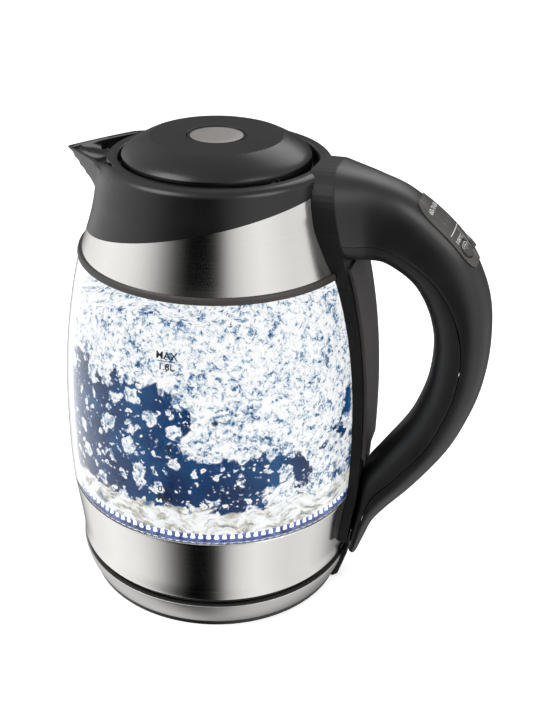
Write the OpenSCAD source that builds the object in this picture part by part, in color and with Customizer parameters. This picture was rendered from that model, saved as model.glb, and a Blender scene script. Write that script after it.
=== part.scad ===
// Cordless electric kettle: a lit glass jug between two steel bands, a black collar with
// a pouring beak, a hinged lid with a push button, a loop handle with a control panel,
// and a round power base that the jug lifts off and turns on.
// The Z axis is the jug's axis, Z = 0 is the table, the handle is on +X, the beak on -X.

/* [Power base] */
// How far the black edge under the base stands in from the lower band
foot_inset = 4.9; // [3.3:0.1:6.3]
// How far the trim ring's lower edge stands in from the lower band
trim_low_inset = 4.4; // [3.3:0.1:4.8]
// How far the trim ring's upper edge stands out from the lower band
trim_top_outset = 0.4; // [0:0.1:3.7]
// Height of the trim ring's upper edge above the table
base_trim_top_z = 16.6; // [15:0.1:17]
// Wall of the trim ring
base_trim_wall = 1.8; // [1.4:0.1:2.2]
// How far the deck that the kettle stands on ends inside the lower band
deck_inset = 3.3; // [2.3:0.1:4.3]
// Height of the deck above the table
deck_z = 16.8; // [16:0.1:18]
// Thickness of the deck and of the base's floor
base_floor_t = 1.9; // [1.6:0.1:2.4]
// Height of the base's floor above the table, inside its rim
foot_proud = 0.6; // [0.4:0.1:1]
// Width of the rim that the base stands on, level with its feet
foot_rim_w = 2; // [1.4:0.1:3]
// Radius of one rubber foot
foot_r = 6.5; // [4:0.5:8]
// Radius of the circle that the feet stand on
foot_ring_r = 58; // [50:1:60]
// Number of rubber feet
foot_count = 4; // [3:1:6]
// Radius of the circle that the base's screws lie on
base_screw_ring_r = 52; // [40:1:56]
// Width of the cord outlet at the back of the base
outlet_w = 18; // [14:1:22]
// Radius of the cord's hole in the outlet
cord_hole_r = 3.3; // [2.5:0.1:4]

/* [Coupler] */
// Radius of the connector tower on the base
tower_r = 15.5; // [14:0.1:17]
// Height of the tower's top above the table
tower_top_z = 27; // [24:0.5:28]
// Radius of the bore for the centre pin
pin_bore_r = 3.4; // [3:0.1:4]
// Radius of the kettle's centre pin
pin_r = 2.6; // [2:0.1:2.8]
// Middle radius of the ring contact
ring_contact_r = 11.1; // [10.5:0.1:12]
// Wall of the ring contact's tube
ring_contact_wall = 1.4; // [1:0.1:1.6]
// Clearance between the parts that turn past each other
turn_gap = 0.8; // [0.6:0.1:1.2]
// Clearance between the base's deck and the kettle's floor
stand_gap = 0.5; // [0.3:0.1:0.8]

/* [Jug] */
// Largest radius of the glass
belly_r = 81.2; // [78:0.1:84]
// Height of the largest radius
belly_z = 92; // [86:1:98]
// Radius of the glass at its top edge
jug_top_r = 70.2; // [68:0.1:72]
// Height of the glass's top edge
jug_top_z = 189; // [180:0.5:195]
// Height where the lower steel band ends and the glass shows
jug_base_z = 60; // [58:0.5:64]
// How quickly the glass curves away from its largest radius
belly_curve = 2.3; // [2:0.1:2.6]
// Wall of the glass
glass_wall = 2.8; // [2.2:0.1:3.4]
// Height of the dark seal over the glass
top_seal_h = 3.3; // [3:0.1:4]

/* [Steel bands] */
// Wall of the steel bands
band_wall = 0.8; // [0.6:0.1:1]
// Height of the lower band's bottom edge
band_base_z = 20.9; // [20.5:0.1:23]
// Radius of the lower band at its bottom edge
band_base_r = 76.3; // [76:0.1:78]
// How much wider the neck is than the collar's rim
neck_flare = 6.1; // [4.4:0.1:7.4]
// Height of the neck above the glass's top edge
neck_h = 32.5; // [30:0.5:34]

/* [Collar and beak] */
// Height of the collar's rim above the glass's top edge
rim_h = 49.3; // [47:0.1:51]
// Width of the rim around the opening
rim_w = 6; // [5.4:0.1:7.4]
// Radius of the opening that the lid closes
mouth_r = 48.6; // [48:0.1:49]
// Height of the collar's lower border above the glass's top edge, on the Z axis
border_h = 27.4; // [25:0.1:30]
// Slope of the collar's lower border, rising towards the handle
border_tilt = 13.6; // [9:0.1:14]
// Distance of the beak's tip from the jug's axis
beak_tip_x = 78; // [74:0.5:82]
// How far the beak's tip lies below the rim
beak_drop = 3.8; // [2.3:0.1:6.3]
// Wall of the beak
beak_wall = 2.7; // [2:0.1:3]

/* [Lid] */
// Gap around the lid in the opening
lid_gap = 1.7; // [1.4:0.1:2.1]
// Height of the lid's flat top above the rim
lid_rise = 9.7; // [8.7:0.1:11.7]
// How far the lid's flat top ends inside its edge
lid_flat_inset = 14.2; // [13:0.1:17]
// Wall of the lid's shell
lid_wall = 2.2; // [1.8:0.1:2.6]
// How far the hinge pin lies inside the opening
hinge_inset = 11.6; // [10.6:0.1:12.6]
// How far the hinge pin lies below the rim
hinge_drop = 1.9; // [1.7:0.1:2.3]
// Radius of the hinge pin
hinge_pin_r = 1.3; // [1.1:0.1:1.4]
// Radial clearance of the hinge pin in the lid
hinge_fit = 0.05; // [0.03:0.01:0.09]
// Radius of the push button
button_r = 14.2; // [12:0.1:15]
// Travel of the push button, which draws the latch back as far
button_travel = 3; // [2:0.1:3.2]

/* [Handle] */
// Roundness of the grip's section, where 2 is an ellipse
grip_roundness = 2.6; // [2:0.1:3.2]
// Wall of the grip's two shells
grip_wall = 2.4; // [2:0.1:3]
// Half the grip's width in the hand
grip_half_w = 16.5; // [15:0.5:18]
// Half the width of the handle where it meets the collar
root_half_w = 25.5; // [24:0.5:26]
// Depth of the strap beyond the jug's side
strap_depth = 3.3; // [3:0.1:4]
// Thickness of the cover on the strap
strap_cover_t = 2; // [1.6:0.1:2.4]
// Height of the strap's lower end
strap_low_z = 29; // [27:0.5:32]
// Height above the glass where the grip's root starts on the strap
root_low_h = 6; // [1:0.5:9]
// How far the top of the handle's root stands above the rim
root_rise = 2.1; // [0.7:0.1:3.7]
// Clearance between pieces that are fixed face to face
seat_gap = 0.15; // [0.1:0.05:0.3]

/* [Control panel] */
// Half the width of the panel, as an angle around the grip
panel_half_angle = 37; // [30:1:42]
// Thickness of the panel
panel_t = 0.6; // [0.4:0.1:1]
// Radius of one key
key_r = 4.3; // [3.5:0.1:4.6]
// Clearance around a key
key_gap = 0.5; // [0.4:0.1:0.7]
// Distance of each key from the handle's middle plane
key_y = 5.6; // [5.4:0.1:6]
// Sideways lean of each key, which follows the grip's crown
key_lean = 9.4; // [8:0.1:11]

/* [Heating] */
// Radius of the heating plate
plate_r = 74; // [72:0.1:74.2]
// Thickness of the heating plate
plate_t = 1.2; // [1:0.1:1.5]
// Radius of the heating element's ring
element_ring_r = 46; // [38:1:50]
// Radius of the heating element's tube
element_r = 3.7; // [3:0.1:4]
// Number of teeth on the light ring
light_teeth = 120; // [60:4:160]
// Number of lamps under the light ring
led_count = 12; // [6:1:18]

/* [Hidden] */
$fn = 96;

black = [0.07, 0.07, 0.075];
steel = [0.72, 0.72, 0.71];
silver = [0.64, 0.63, 0.62];
brass = [0.78, 0.6, 0.28];
alu = [0.8, 0.8, 0.82];
silicone = [0.28, 0.26, 0.25];
clear = [0.75, 0.86, 0.92, 0.4];

far = 200;
// Sizes that follow the glass, the mouth and the lower band
base_foot_r = band_base_r - foot_inset;
base_trim_low_r = band_base_r - trim_low_inset;
base_trim_top_r = band_base_r + trim_top_outset;
deck_r = band_base_r - deck_inset;
rim_r = mouth_r + rim_w;
neck_r = rim_r + neck_flare;
neck_z = jug_top_z + neck_h;
rim_z = jug_top_z + rim_h;
border_z = jug_top_z + border_h;
beak_tip_z = rim_z - beak_drop;
lid_r = mouth_r - lid_gap;
lid_top_z = rim_z + lid_rise;
lid_flat_r = lid_r - lid_flat_inset;
hinge_x = mouth_r - hinge_inset;
hinge_z = rim_z - hinge_drop;
root_low_z = jug_top_z + root_low_h;
root_top_z = rim_z + root_rise;
collar_low_z = jug_top_z + 6;
lip_low_z = jug_top_z + 1;
eps = 0.01;
outline_steps = 24;

// The jug's outline: the lower band, the glass, then the neck up to the collar.
function glass_r(z) = belly_r - (belly_r - jug_top_r)
    * pow(abs(z - belly_z) / (jug_top_z - belly_z), belly_curve);
function lower_r(z) = band_base_r + (glass_r(jug_base_z) - band_base_r)
    * pow(max(z - band_straight_z, 0) / (jug_base_z - band_straight_z), 1.15);
function upper_r(z) = neck_r + (jug_top_r - neck_r)
    * pow(max(neck_z - z, 0) / (neck_z - jug_top_z), 1.35);
function body_r(z) = z < jug_base_z ? lower_r(z) : z < jug_top_z ? glass_r(z) : upper_r(z);
function span(a, b, n = outline_steps) = [for (i = [0:n]) a + (b - a) * i / n];
function down(list) = [for (i = [len(list) - 1:-1:0]) list[i]];
band_straight_z = band_base_z + 6;
// The collar's shoulder is a cone from the neck that ends in a rounded rim.
shoulder_r = rim_r + 2.8;
shoulder_z = rim_z - 3.8;
rim_round = 2.6;
function collar_outline(off = 0) = concat(
    [for (z = span(collar_low_z, neck_z, 8)) [body_r(z) + off, z]],
    [[shoulder_r + off, shoulder_z]],
    [for (a = [0:15:90]) [rim_r - rim_round + (rim_round + 0.9 + off) * cos(a),
        rim_z - rim_round + (rim_round + off) * sin(a)]]);

base_floor_z = foot_proud;
base_inner_z = base_floor_z + base_floor_t;
base_deck_low = deck_z - base_floor_t - 0.3;
foot_t = 1.5;
screw_head_r = 3;
screw_r = 1.45;
screw_boss_r = 5;
screw_post_r = 3.6;
base_screw_count = 3;
outlet_gap = 0.25;

tower_flange_r = 24;
tower_flange_z = base_deck_low - 2.2;
tower_low_z = 7;
groove_r0 = ring_contact_r - ring_contact_wall / 2 - turn_gap;
groove_r1 = ring_contact_r + ring_contact_wall / 2 + turn_gap;
groove_z = deck_z + 0.2;
kettle_low_z = deck_z + stand_gap;
kettle_floor_t = 2.2;
kettle_floor_top = kettle_low_z + kettle_floor_t;
cup_r0 = tower_r + turn_gap + 0.1;
cup_wall = 2.4;
cup_r1 = cup_r0 + cup_wall;
cup_top_z = tower_top_z + 4;
cup_flange_z = kettle_floor_top + 0.5;
cup_flange_r = 23;
kettle_floor_r = band_base_r - 2.9;
kettle_skirt_wall = 2;
kettle_skirt_top = 33;
chassis_low_z = kettle_skirt_top + 0.2;
chassis_top_z = jug_base_z - 7.2;
chassis_r = band_base_r - 0.9;
chassis_wall = 2.5;
chassis_flange_r = body_r(chassis_top_z) - band_wall - 0.8;
kettle_screw_ring_r = 62;
kettle_screw_count = 3;

plate_z = jug_base_z - 2;
diffuser_top = plate_z - 0.1;
diffuser_t = 3.1;
diffuser_r = 60;
element_z = diffuser_top - diffuser_t - element_r - 0.05;
element_arc = 300;
seal_low_z = jug_base_z - 3;
seal_top_z = jug_base_z + 0.3;
glass_low_z = jug_base_z + 0.5;
glass_top_z = jug_top_z + 1.4;
led_board_z = chassis_top_z + 0.2;
led_board_t = 1.4;
light_ring_z = seal_top_z + 0.1;
light_ring_h = 7;
light_ring_r = glass_r(glass_low_z) - glass_wall - 0.5;
light_ring_t = 2.4;
tooth_depth = 1.2;
probe_x = -30;
probe_y = -10;
probe_r = 3.5;
upper_band_z = jug_top_z + top_seal_h + 0.1;

lip_depth = 6;
lip_wall = 2.2;
ledge_z = rim_z - 12.3;
beak_cyl_r = shoulder_r - 0.2;
beak_low_z = rim_z - 17.3;
beak_tip_r = 1.6;

lid_skirt_z = rim_z - 7.3;
hinge_pin_half = hinge_x + 0.2;
knuckle_r = 2.4;
knuckle_y0 = 22;
knuckle_y1 = 27.3;
liner_r = lid_r - 2.9;
liner_z = rim_z - 10.3;
liner_t = 2;
liner_wall = 2;
liner_top = rim_z - 0.3;
button_top_z = lid_top_z - 0.3;
button_t = 1.9;
button_gap = 0.5;
bolt_w = 14;
bolt_z = rim_z - 6.8;
bolt_t = 2;
bolt_nose_x = mouth_r - 0.4;
wedge_z = bolt_z + bolt_t + 0.1;
spring_seat_z = rim_z - 2.3;
spring_seat_r = 12;
spring_r = 9.6;
spring_wire = 0.9;

// The handle's root meets the strap in a plane that leans towards the jug.
root_lean = 0.2225;
// The handle follows the belly's radius, and its upper part the glass's height.
out = belly_r - 81.2;
tail_out = max(out, band_base_r - 76.3);
function lift(z) = z + (root_low_z - 195) * min(1, max(0, (z - 70) / 125));
// Stations along the handle: inner point x, z, outer point x, z, half width, seam angle.
grip = [
    [strap_x(root_low_z), root_low_z, root_x(root_top_z), root_top_z, root_half_w, 112],
    [76.2, root_low_z - 0.4, 71.5, lift(238.2), 22, 112],
    [81, root_low_z - 0.2, 81, lift(235.7), 19.2, 110],
    [88.4 + out / 2, lift(193.8), 96.5 + out / 2, lift(230), 17.4, 108],
    [99.4 + out, lift(187.5), 115.5 + out, lift(216.6), grip_half_w + 0.4, 104],
    [106.2 + out, lift(179.6), 128.8 + out, lift(201.8), grip_half_w, 98],
    [111.6 + out, lift(168.4), 138.8 + out, lift(180), grip_half_w, 92],
    [114.5 + out, lift(155), 141.9 + out, lift(156), grip_half_w, 88],
    [113.9 + out, lift(137.4), 140.6 + out, lift(134), grip_half_w, 86],
    [110.5 + out, lift(122), 135.7 + out, lift(114.3), grip_half_w, 86],
    [104.2 + out, lift(106), 127.2 + out, lift(93.3), grip_half_w, 86],
    [91.5 + out, lift(85.5), 112.6 + out, lift(70.2), grip_half_w, 88],
    [tail_x(73), 73, 99.8 + tail_out, 53.6, grip_half_w, 90],
    [tail_x(55), 55, 92.3 + tail_out, 43, grip_half_w, 90],
    [tail_x(39), 39, 88.5 + tail_out, 32.5, grip_half_w, 90],
    [tail_x(26), 26, 85.3 + tail_out, 23, grip_half_w - 1, 90]];
grip_steps = 3;
function root_x(z) = body_r(root_low_z) + strap_depth + 0.7 - (z - root_low_z) * root_lean;
function strap_x(z) = z < root_low_z ? body_r(z) + strap_depth
    : root_x(z);
function tail_x(z) = body_r(z) + strap_depth + 2 * seat_gap;

// A smooth curve through the stations, at t counted in stations.
function station(i) = grip[min(max(i, 0), len(grip) - 1)];
function smooth(a, b, c, d, t) = 0.5 * (2 * b + (c - a) * t
    + (2 * a - 5 * b + 4 * c - d) * t * t + (3 * b - a - 3 * c + d) * t * t * t);
function grip_at(t) = let (i = min(floor(t), len(grip) - 2))
    smooth(station(i - 1), station(i), station(i + 1), station(i + 2), t - i);
function signed_pow(v, p) = sign(v) * pow(abs(v), p);
// A point of the grip's section at angle a from its outer side, off outside its surface.
function section_point(s, a, off) = let (
        dx = s[2] - s[0], dz = s[3] - s[1], h = norm([dx, dz]) / 2,
        ho = max(h + off, 0.3 * h), wo = s[4] + off,
        n = ho * signed_pow(cos(a), 2 / grip_roundness),
        y = wo * signed_pow(sin(a), 2 / grip_roundness))
    [(s[0] + s[2]) / 2 + dx / (2 * h) * n, y, (s[1] + s[3]) / 2 + dz / (2 * h) * n];
function arc_ring(s, a0, a1, off_out, off_in, n) = concat(
    [for (i = [0:n]) section_point(s, a0 + (a1 - a0) * i / n, off_out)],
    [for (i = [n:-1:0]) section_point(s, a0 + (a1 - a0) * i / n, off_in)]);

// Joins rings of equally many points into one closed solid.
module loft(rings) {
    n = len(rings[0]);
    last = len(rings) - 1;
    sides = [for (r = [0:last - 1], i = [0:n - 1], k = [0:1])
        k == 0 ? [r * n + i, r * n + (i + 1) % n, (r + 1) * n + (i + 1) % n]
               : [r * n + i, (r + 1) * n + (i + 1) % n, (r + 1) * n + i]];
    ends = [[for (i = [n - 1:-1:0]) i], [for (i = [0:n - 1]) last * n + i]];
    polyhedron(points = [for (r = rings) each r], faces = concat(sides, ends), convexity = 10);
}

// A wire coil about Z with its lowest turn's middle at z0 and its highest at z1.
module coil(r, wire, z0, z1, turns, sides = 6, per_turn = 14) {
    n = turns * per_turn;
    loft([for (i = [0:n]) let (a = 360 * i / per_turn, z = z0 + (z1 - z0) * i / n)
        [for (j = [0:sides - 1]) let (b = -360 * j / sides)
            [(r + wire / 2 * cos(b)) * cos(a), (r + wire / 2 * cos(b)) * sin(a),
                z + wire / 2 * sin(b)]]]);
}

module ring(r0, r1, z0, z1) {
    translate([0, 0, z0]) difference() {
        cylinder(r = r1, h = z1 - z0);
        translate([0, 0, -1]) cylinder(r = r0, h = z1 - z0 + 2);
    }
}

module disc(r, z0, z1) {
    translate([0, 0, z0]) cylinder(r = r, h = z1 - z0);
}

module around(count, r, start = 0) {
    for (i = [0:count - 1]) rotate([0, 0, start + 360 * i / count]) translate([r, 0, 0])
        children();
}

// Everything under the collar's slanted lower border, moved up by dz.
module below_border(dz) {
    translate([0, 0, border_z + dz]) rotate([0, -border_tilt, 0])
        translate([-far, -far, -2 * far]) cube([2 * far, 2 * far, 2 * far]);
}

module screw(z_head, z_tip, head_t = 2) {
    disc(screw_head_r, z_head, z_head + head_t);
    disc(screw_r, z_head + head_t - eps, z_tip);
}

module outlet_notch(gap) {
    translate([60, -outlet_w / 2 - gap, 0]) cube([40, outlet_w + 2 * gap, 30]);
}

// ---- Power base ----

module base_bottom_cover() color(black) difference() {
    union() {
        disc(base_foot_r, base_floor_z, base_inner_z);
        ring(base_foot_r - foot_rim_w, base_foot_r, 0, base_inner_z);
        ring(base_trim_low_r - base_trim_wall - 2.3, base_trim_low_r - base_trim_wall - 0.3,
            base_inner_z - eps, base_inner_z + 4.5);
        around(base_screw_count, base_screw_ring_r, 60) disc(screw_boss_r, base_floor_z, 6.5);
    }
    around(base_screw_count, base_screw_ring_r, 60) {
        disc(screw_head_r + 0.4, 0, 4.5);
        disc(screw_r + 0.35, 0, 10);
    }
    around(foot_count, foot_ring_r, 45) disc(foot_r + 0.1, 0, foot_t + 0.05);
    outlet_notch(outlet_gap);
}

module base_trim_ring() color(silver) difference() {
    rotate_extrude() polygon([
        [base_trim_low_r, base_inner_z + 0.1],
        [base_trim_top_r, base_trim_top_z - 0.8],
        [base_trim_top_r - 0.3, base_trim_top_z],
        [deck_r + 0.2, base_trim_top_z],
        [deck_r + 0.2, base_trim_top_z - 1.6],
        [base_trim_top_r - base_trim_wall - 0.4, base_trim_top_z - 1.6],
        [base_trim_low_r - base_trim_wall, base_inner_z + 0.1]]);
    outlet_notch(outlet_gap);
}

module base_deck() color(black) difference() {
    union() {
        disc(deck_r, base_deck_low, deck_z);
        ring(65.2, base_trim_low_r - base_trim_wall - 2.6, base_inner_z + 0.3, base_deck_low + eps);
        around(base_screw_count, base_screw_ring_r, 60) disc(screw_post_r, 6.6, base_deck_low + eps);
    }
    disc(tower_r + 0.7, 0, 30);
    around(base_screw_count, base_screw_ring_r, 60) disc(screw_r + 0.05, 0, 13.5);
    outlet_notch(outlet_gap);
}

module base_feet() color([0.12, 0.12, 0.12]) around(foot_count, foot_ring_r, 45)
    disc(foot_r, 0, foot_t);

module base_screws() color(steel) around(base_screw_count, base_screw_ring_r, 60)
    screw(2.4, 13);

module base_connector() color(black) difference() {
    union() {
        disc(tower_r - 1.5, tower_low_z, tower_flange_z + eps);
        disc(tower_flange_r, tower_flange_z, base_deck_low - 0.1);
        disc(tower_r, base_deck_low - 0.2, tower_top_z);
    }
    ring(groove_r0, groove_r1, groove_z, tower_top_z + 1);
    disc(pin_bore_r, 14, tower_top_z + 1);
}

module connector_contacts() color(brass) {
    ring(groove_r0 + 0.2, groove_r1 - 0.2, groove_z + eps, groove_z + 0.5);
    disc(pin_bore_r - 0.2, 14 + eps, 15);
    for (y = [-7, 0, 7]) translate([-3, y - 0.4, 3.2]) cube([6, 0.8, tower_low_z - 3.25]);
}

module cord_outlet() color(black) difference() {
    translate([0, outlet_w / 2, 0]) rotate([90, 0, 0]) linear_extrude(outlet_w) polygon([
        [64.5, 3.2], [66, base_floor_z], [base_foot_r + 1, base_floor_z], [75, 2.6],
        [79.6, 18.4], [79.2, 20], [77.2, 20.3], [75.6, base_trim_top_z],
        [73.4, base_trim_top_z - 2], [64.5, 14.2]]);
    translate([60, 0, 9]) rotate([0, 90, 0]) cylinder(r = cord_hole_r, h = 30);
}

module base_wiring() for (i = [-1:1])
    color(i == 0 ? "yellow" : i < 0 ? "saddlebrown" : "royalblue")
        translate([18, 2.2 * i, 8.4]) rotate([0, 90, 0]) cylinder(r = 1, h = 44);

// ---- Coupler half that stays with the kettle ----

module coupler_socket() color(black) difference() {
    union() {
        disc(cup_r1, kettle_low_z + 0.2, cup_top_z);
        disc(cup_flange_r, cup_flange_z, cup_flange_z + 2);
    }
    ring(ring_contact_r + ring_contact_wall / 2 + 1, cup_r0, 0, cup_top_z - 2);
    disc(ring_contact_r - ring_contact_wall / 2 - 1, 0, cup_top_z - 2);
    ring(ring_contact_r - ring_contact_wall / 2 - 2, ring_contact_r + ring_contact_wall / 2 + 2,
        0, cup_top_z - 4);
    disc(pin_r + 0.02, 0, cup_top_z + 1);
    ring(ring_contact_r - ring_contact_wall / 2 - 0.02, ring_contact_r + ring_contact_wall / 2 + 0.02,
        0, cup_top_z - 2.5);
}

module coupler_contacts() color(brass) {
    disc(pin_r, deck_z - 1.2, cup_top_z + 1.6);
    ring(ring_contact_r - ring_contact_wall / 2, ring_contact_r + ring_contact_wall / 2,
        groove_z + 0.5 + turn_gap / 2, cup_top_z - 2.5);
}

// ---- Kettle body ----

module kettle_bottom_cover() color(black) difference() {
    union() {
        disc(kettle_floor_r, kettle_low_z, kettle_floor_top);
        ring(kettle_floor_r - kettle_skirt_wall, kettle_floor_r, kettle_low_z, kettle_skirt_top);
        ring(cup_flange_r + 1, cup_flange_r + 3, kettle_low_z, kettle_floor_top + 7);
        around(kettle_screw_count, kettle_screw_ring_r, 60)
            disc(screw_boss_r, kettle_low_z, kettle_floor_top + 3);
    }
    disc(cup_r1 + 0.6, 0, 60);
    around(kettle_screw_count, kettle_screw_ring_r, 60) {
        disc(screw_head_r + 0.4, 0, kettle_low_z + 3.4);
        disc(screw_r + 0.35, 0, 40);
    }
}

module bottom_screws() color(steel) around(kettle_screw_count, kettle_screw_ring_r, 60)
    screw(kettle_low_z + 1.3, 34);

module chassis_ring() color([0.2, 0.2, 0.21]) difference() {
    union() {
        ring(chassis_r - chassis_wall, chassis_r, chassis_low_z, chassis_top_z);
        ring(64, chassis_flange_r, chassis_top_z - 2.2, chassis_top_z);
        difference() {
            around(kettle_screw_count, kettle_screw_ring_r, 60)
                disc(screw_post_r, kettle_floor_top + 3.2, chassis_top_z);
            disc(diffuser_r - 1, chassis_top_z - 12, chassis_top_z + 1);
        }
        for (a = [0:60:300]) rotate([0, 0, a]) translate([64.5, -1, chassis_top_z - 6])
            cube([chassis_r - 66, 2, 5]);
        translate([67.5, 0, strap_low_screw_z]) rotate([0, 90, 0]) cylinder(r = 4.5, h = 7);
    }
    around(kettle_screw_count, kettle_screw_ring_r, 60) disc(screw_r + 0.05, 0, 36);
    translate([60, 0, strap_low_screw_z]) rotate([0, 90, 0]) cylinder(r = screw_r + 0.05, h = 20);
}

module lower_band() color(steel) difference() {
    rotate_extrude() polygon(concat(
        [[kettle_floor_r + 0.3, band_base_z], [band_base_r - 0.4, band_base_z]],
        [for (z = span(band_base_z + 0.4, jug_base_z)) [lower_r(z), z]],
        [for (z = span(jug_base_z, band_base_z + band_wall)) [lower_r(z) - band_wall, z]],
        [[kettle_floor_r + 0.3, band_base_z + band_wall]]));
    translate([60, 0, strap_low_screw_z]) rotate([0, 90, 0]) cylinder(r = screw_r + 0.35, h = 30);
}

module control_unit() color([0.85, 0.84, 0.8]) {
    translate([-24, -17, cup_top_z + 2.6]) cube([48, 34, 9]);
    for (x = [-15, 15]) translate([x, 0, 0]) disc(6.5, cup_top_z + 11.5, element_z + 1);
}

module heating_element() color([0.55, 0.53, 0.5]) {
    translate([0, 0, element_z]) rotate([0, 0, 30]) rotate_extrude(angle = element_arc)
        translate([element_ring_r, 0]) circle(r = element_r, $fn = 32);
    for (a = [30, 30 + element_arc]) rotate([0, 0, a])
        translate([element_ring_r, a > 90 ? 2.6 : -2.6, element_z - 14]) cylinder(r = 2, h = 14);
}

module diffuser_plate() color(alu) difference() {
    disc(diffuser_r, diffuser_top - diffuser_t, diffuser_top);
    translate([probe_x, probe_y, 0]) disc(probe_r + 0.2, 0, 80);
}

module heating_plate() color(steel) difference() {
    disc(plate_r, plate_z, plate_z + plate_t);
    translate([probe_x, probe_y, 0]) disc(probe_r + 0.1, 0, 80);
}

module plate_seal() color([0.8, 0.8, 0.8, 0.7]) rotate_extrude() polygon([
    [plate_r + 0.2, seal_low_z], [lower_r(seal_low_z) - band_wall - 0.2, seal_low_z],
    [lower_r(seal_low_z) - band_wall - 0.2, seal_top_z], [plate_r - 1.6, seal_top_z],
    [plate_r - 1.6, plate_z + plate_t + 0.1], [plate_r + 0.2, plate_z + plate_t + 0.1]]);

module led_board() color([0.1, 0.35, 0.18])
    ring(70.5, chassis_flange_r - 0.4, led_board_z, led_board_z + led_board_t);

module leds() color([0.4, 0.6, 1]) around(led_count, 75.4, 15)
    translate([-1.5, -1.5, led_board_z + led_board_t + eps]) cube([3, 3, 1.6]);

// The ring's inside is cut into fine teeth that catch the lamps' light.
module light_ring() color([0.7, 0.8, 1]) translate([0, 0, light_ring_z])
    linear_extrude(light_ring_h) difference() {
        circle(r = light_ring_r);
        polygon([for (i = [0:light_teeth - 1], k = [0:3])
            let (a = (i + [0, 0.5, 0.55, 0.95][k]) * 360 / light_teeth,
                r = light_ring_r - light_ring_t - (k < 2 ? tooth_depth : 0))
            [r * cos(a), r * sin(a)]]);
    }

module temperature_probe() color(steel) translate([probe_x, probe_y, 0]) {
    disc(probe_r, plate_z - 7, plate_z + 8);
    translate([0, 0, plate_z + 8 - eps]) sphere(r = probe_r);
}

module glass_jug() color(clear) rotate_extrude() polygon(concat(
    [for (z = span(glass_low_z, glass_top_z, 40)) [glass_r(z), z]],
    [for (z = span(glass_top_z, glass_low_z, 40)) [glass_r(z) - glass_wall, z]]));

module glass_top_seal() color(silicone) rotate_extrude() polygon([
    [glass_r(jug_top_z) + 0.1, jug_top_z], [jug_top_r + 0.7, jug_top_z],
    [jug_top_r + 0.7, jug_top_z + 1.6], [jug_top_r - 0.1, jug_top_z + top_seal_h],
    [jug_top_r - 4.6, jug_top_z + top_seal_h], [jug_top_r - 4.6, glass_top_z + 0.1],
    [glass_r(jug_top_z) + 0.1, glass_top_z + 0.1]]);

module upper_band() color(steel) difference() {
    intersection() {
        rotate_extrude() polygon(concat(
            [for (z = span(upper_band_z, rim_z - 3, 16)) [collar_r(z), z]],
            [for (z = span(rim_z - 3, upper_band_z, 16)) [collar_r(z) - band_wall, z]]));
        below_border(-0.1);
    }
    translate([45, 0, strap_top_screw_z]) rotate([0, 90, 0]) cylinder(r = screw_r + 0.35, h = 30);
}
function collar_r(z) = z < neck_z ? body_r(z)
    : neck_r + (shoulder_r - neck_r) * (z - neck_z) / (shoulder_z - neck_z);

// ---- Collar ----

module beak_outer() hull() {
    translate([-beak_tip_x + beak_tip_r, 0, beak_tip_z - beak_tip_r]) sphere(r = beak_tip_r, $fn = 24);
    translate([0, 0, beak_low_z]) cylinder(r1 = beak_cyl_r - 0.2, r2 = rim_r - 0.6,
        h = rim_z - beak_low_z - 0.4, $fn = 64);
}

module beak_hollow() hull() {
    translate([-beak_tip_x + beak_tip_r + 3.6, 0, beak_tip_z + 1]) sphere(r = 0.8, $fn = 16);
    translate([0, 0, beak_low_z + 3]) cylinder(r = rim_r - beak_wall, h = 24, $fn = 64);
}

// The space inside the collar: the throat, the ledge under the mouth, and the mouth.
module collar_void() rotate_extrude() polygon(concat([[0, lip_low_z]],
    [for (z = span(lip_low_z, ledge_z - 3, 10)) [collar_r(z) - band_wall - lip_wall, z]],
    [[mouth_r, ledge_z], [mouth_r, rim_z - 0.6], [mouth_r + 0.6, rim_z], [mouth_r + 0.6, rim_z + 9],
        [0, rim_z + 9]]));

module collar() color(black) difference() {
    union() {
        difference() {
            rotate_extrude() polygon(concat([[30, collar_low_z]], collar_outline(), [[30, rim_z]]));
            below_border(0.1);
        }
        // Lip that goes down inside the upper band
        difference() {
            rotate_extrude() polygon(concat([[30, lip_low_z]],
                [for (z = span(lip_low_z, shoulder_z - 4, 12)) [collar_r(z) - band_wall - 0.15, z]],
                [[30, shoulder_z - 4]]));
            below_border(-lip_depth);
        }
        beak_outer();
    }
    collar_void();
    // The beak is hollow outside the wall around the mouth and open under the ledge
    difference() {
        beak_hollow();
        disc(rim_r - 0.3, ledge_z + 0.5, rim_z + 20);
    }
    // The mouth is wider at the back, where the lid's edge swings down
    rotate([0, 0, -62]) rotate_extrude(angle = 124) polygon([[mouth_r - 1, rim_z - 5],
        [mouth_r - 0.05, rim_z - 5], [mouth_r + 2.4, rim_z + 0.3], [mouth_r - 1, rim_z + 0.3]]);
    for (s = [-1, 1]) translate([hinge_x, s * (hinge_pin_half + 0.2), hinge_z])
        rotate([s * 90, 0, 0]) cylinder(r = hinge_pin_r + 0.02, h = 10);
    translate([-mouth_r - 2.6, -bolt_w / 2 - 1, bolt_z - 1]) cube([6, bolt_w + 2, bolt_t + 2]);
    translate([45, 0, strap_top_screw_z]) rotate([0, 90, 0]) cylinder(r = screw_r + 0.05, h = 30);
}

module spout_filter() color([0.75, 0.75, 0.73]) difference() {
    rotate([0, 0, 158]) rotate_extrude(angle = 44) translate([mouth_r + 1.4, ledge_z - 22])
        square([1.2, 21.6]);
    for (a = [-15:6:15], z = [0:4.4:14]) rotate([0, 0, 180 + a])
        translate([mouth_r, -1.9, ledge_z - 20 + z]) cube([5, 3.8, 3.4]);
}

// ---- Handle ----

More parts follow.
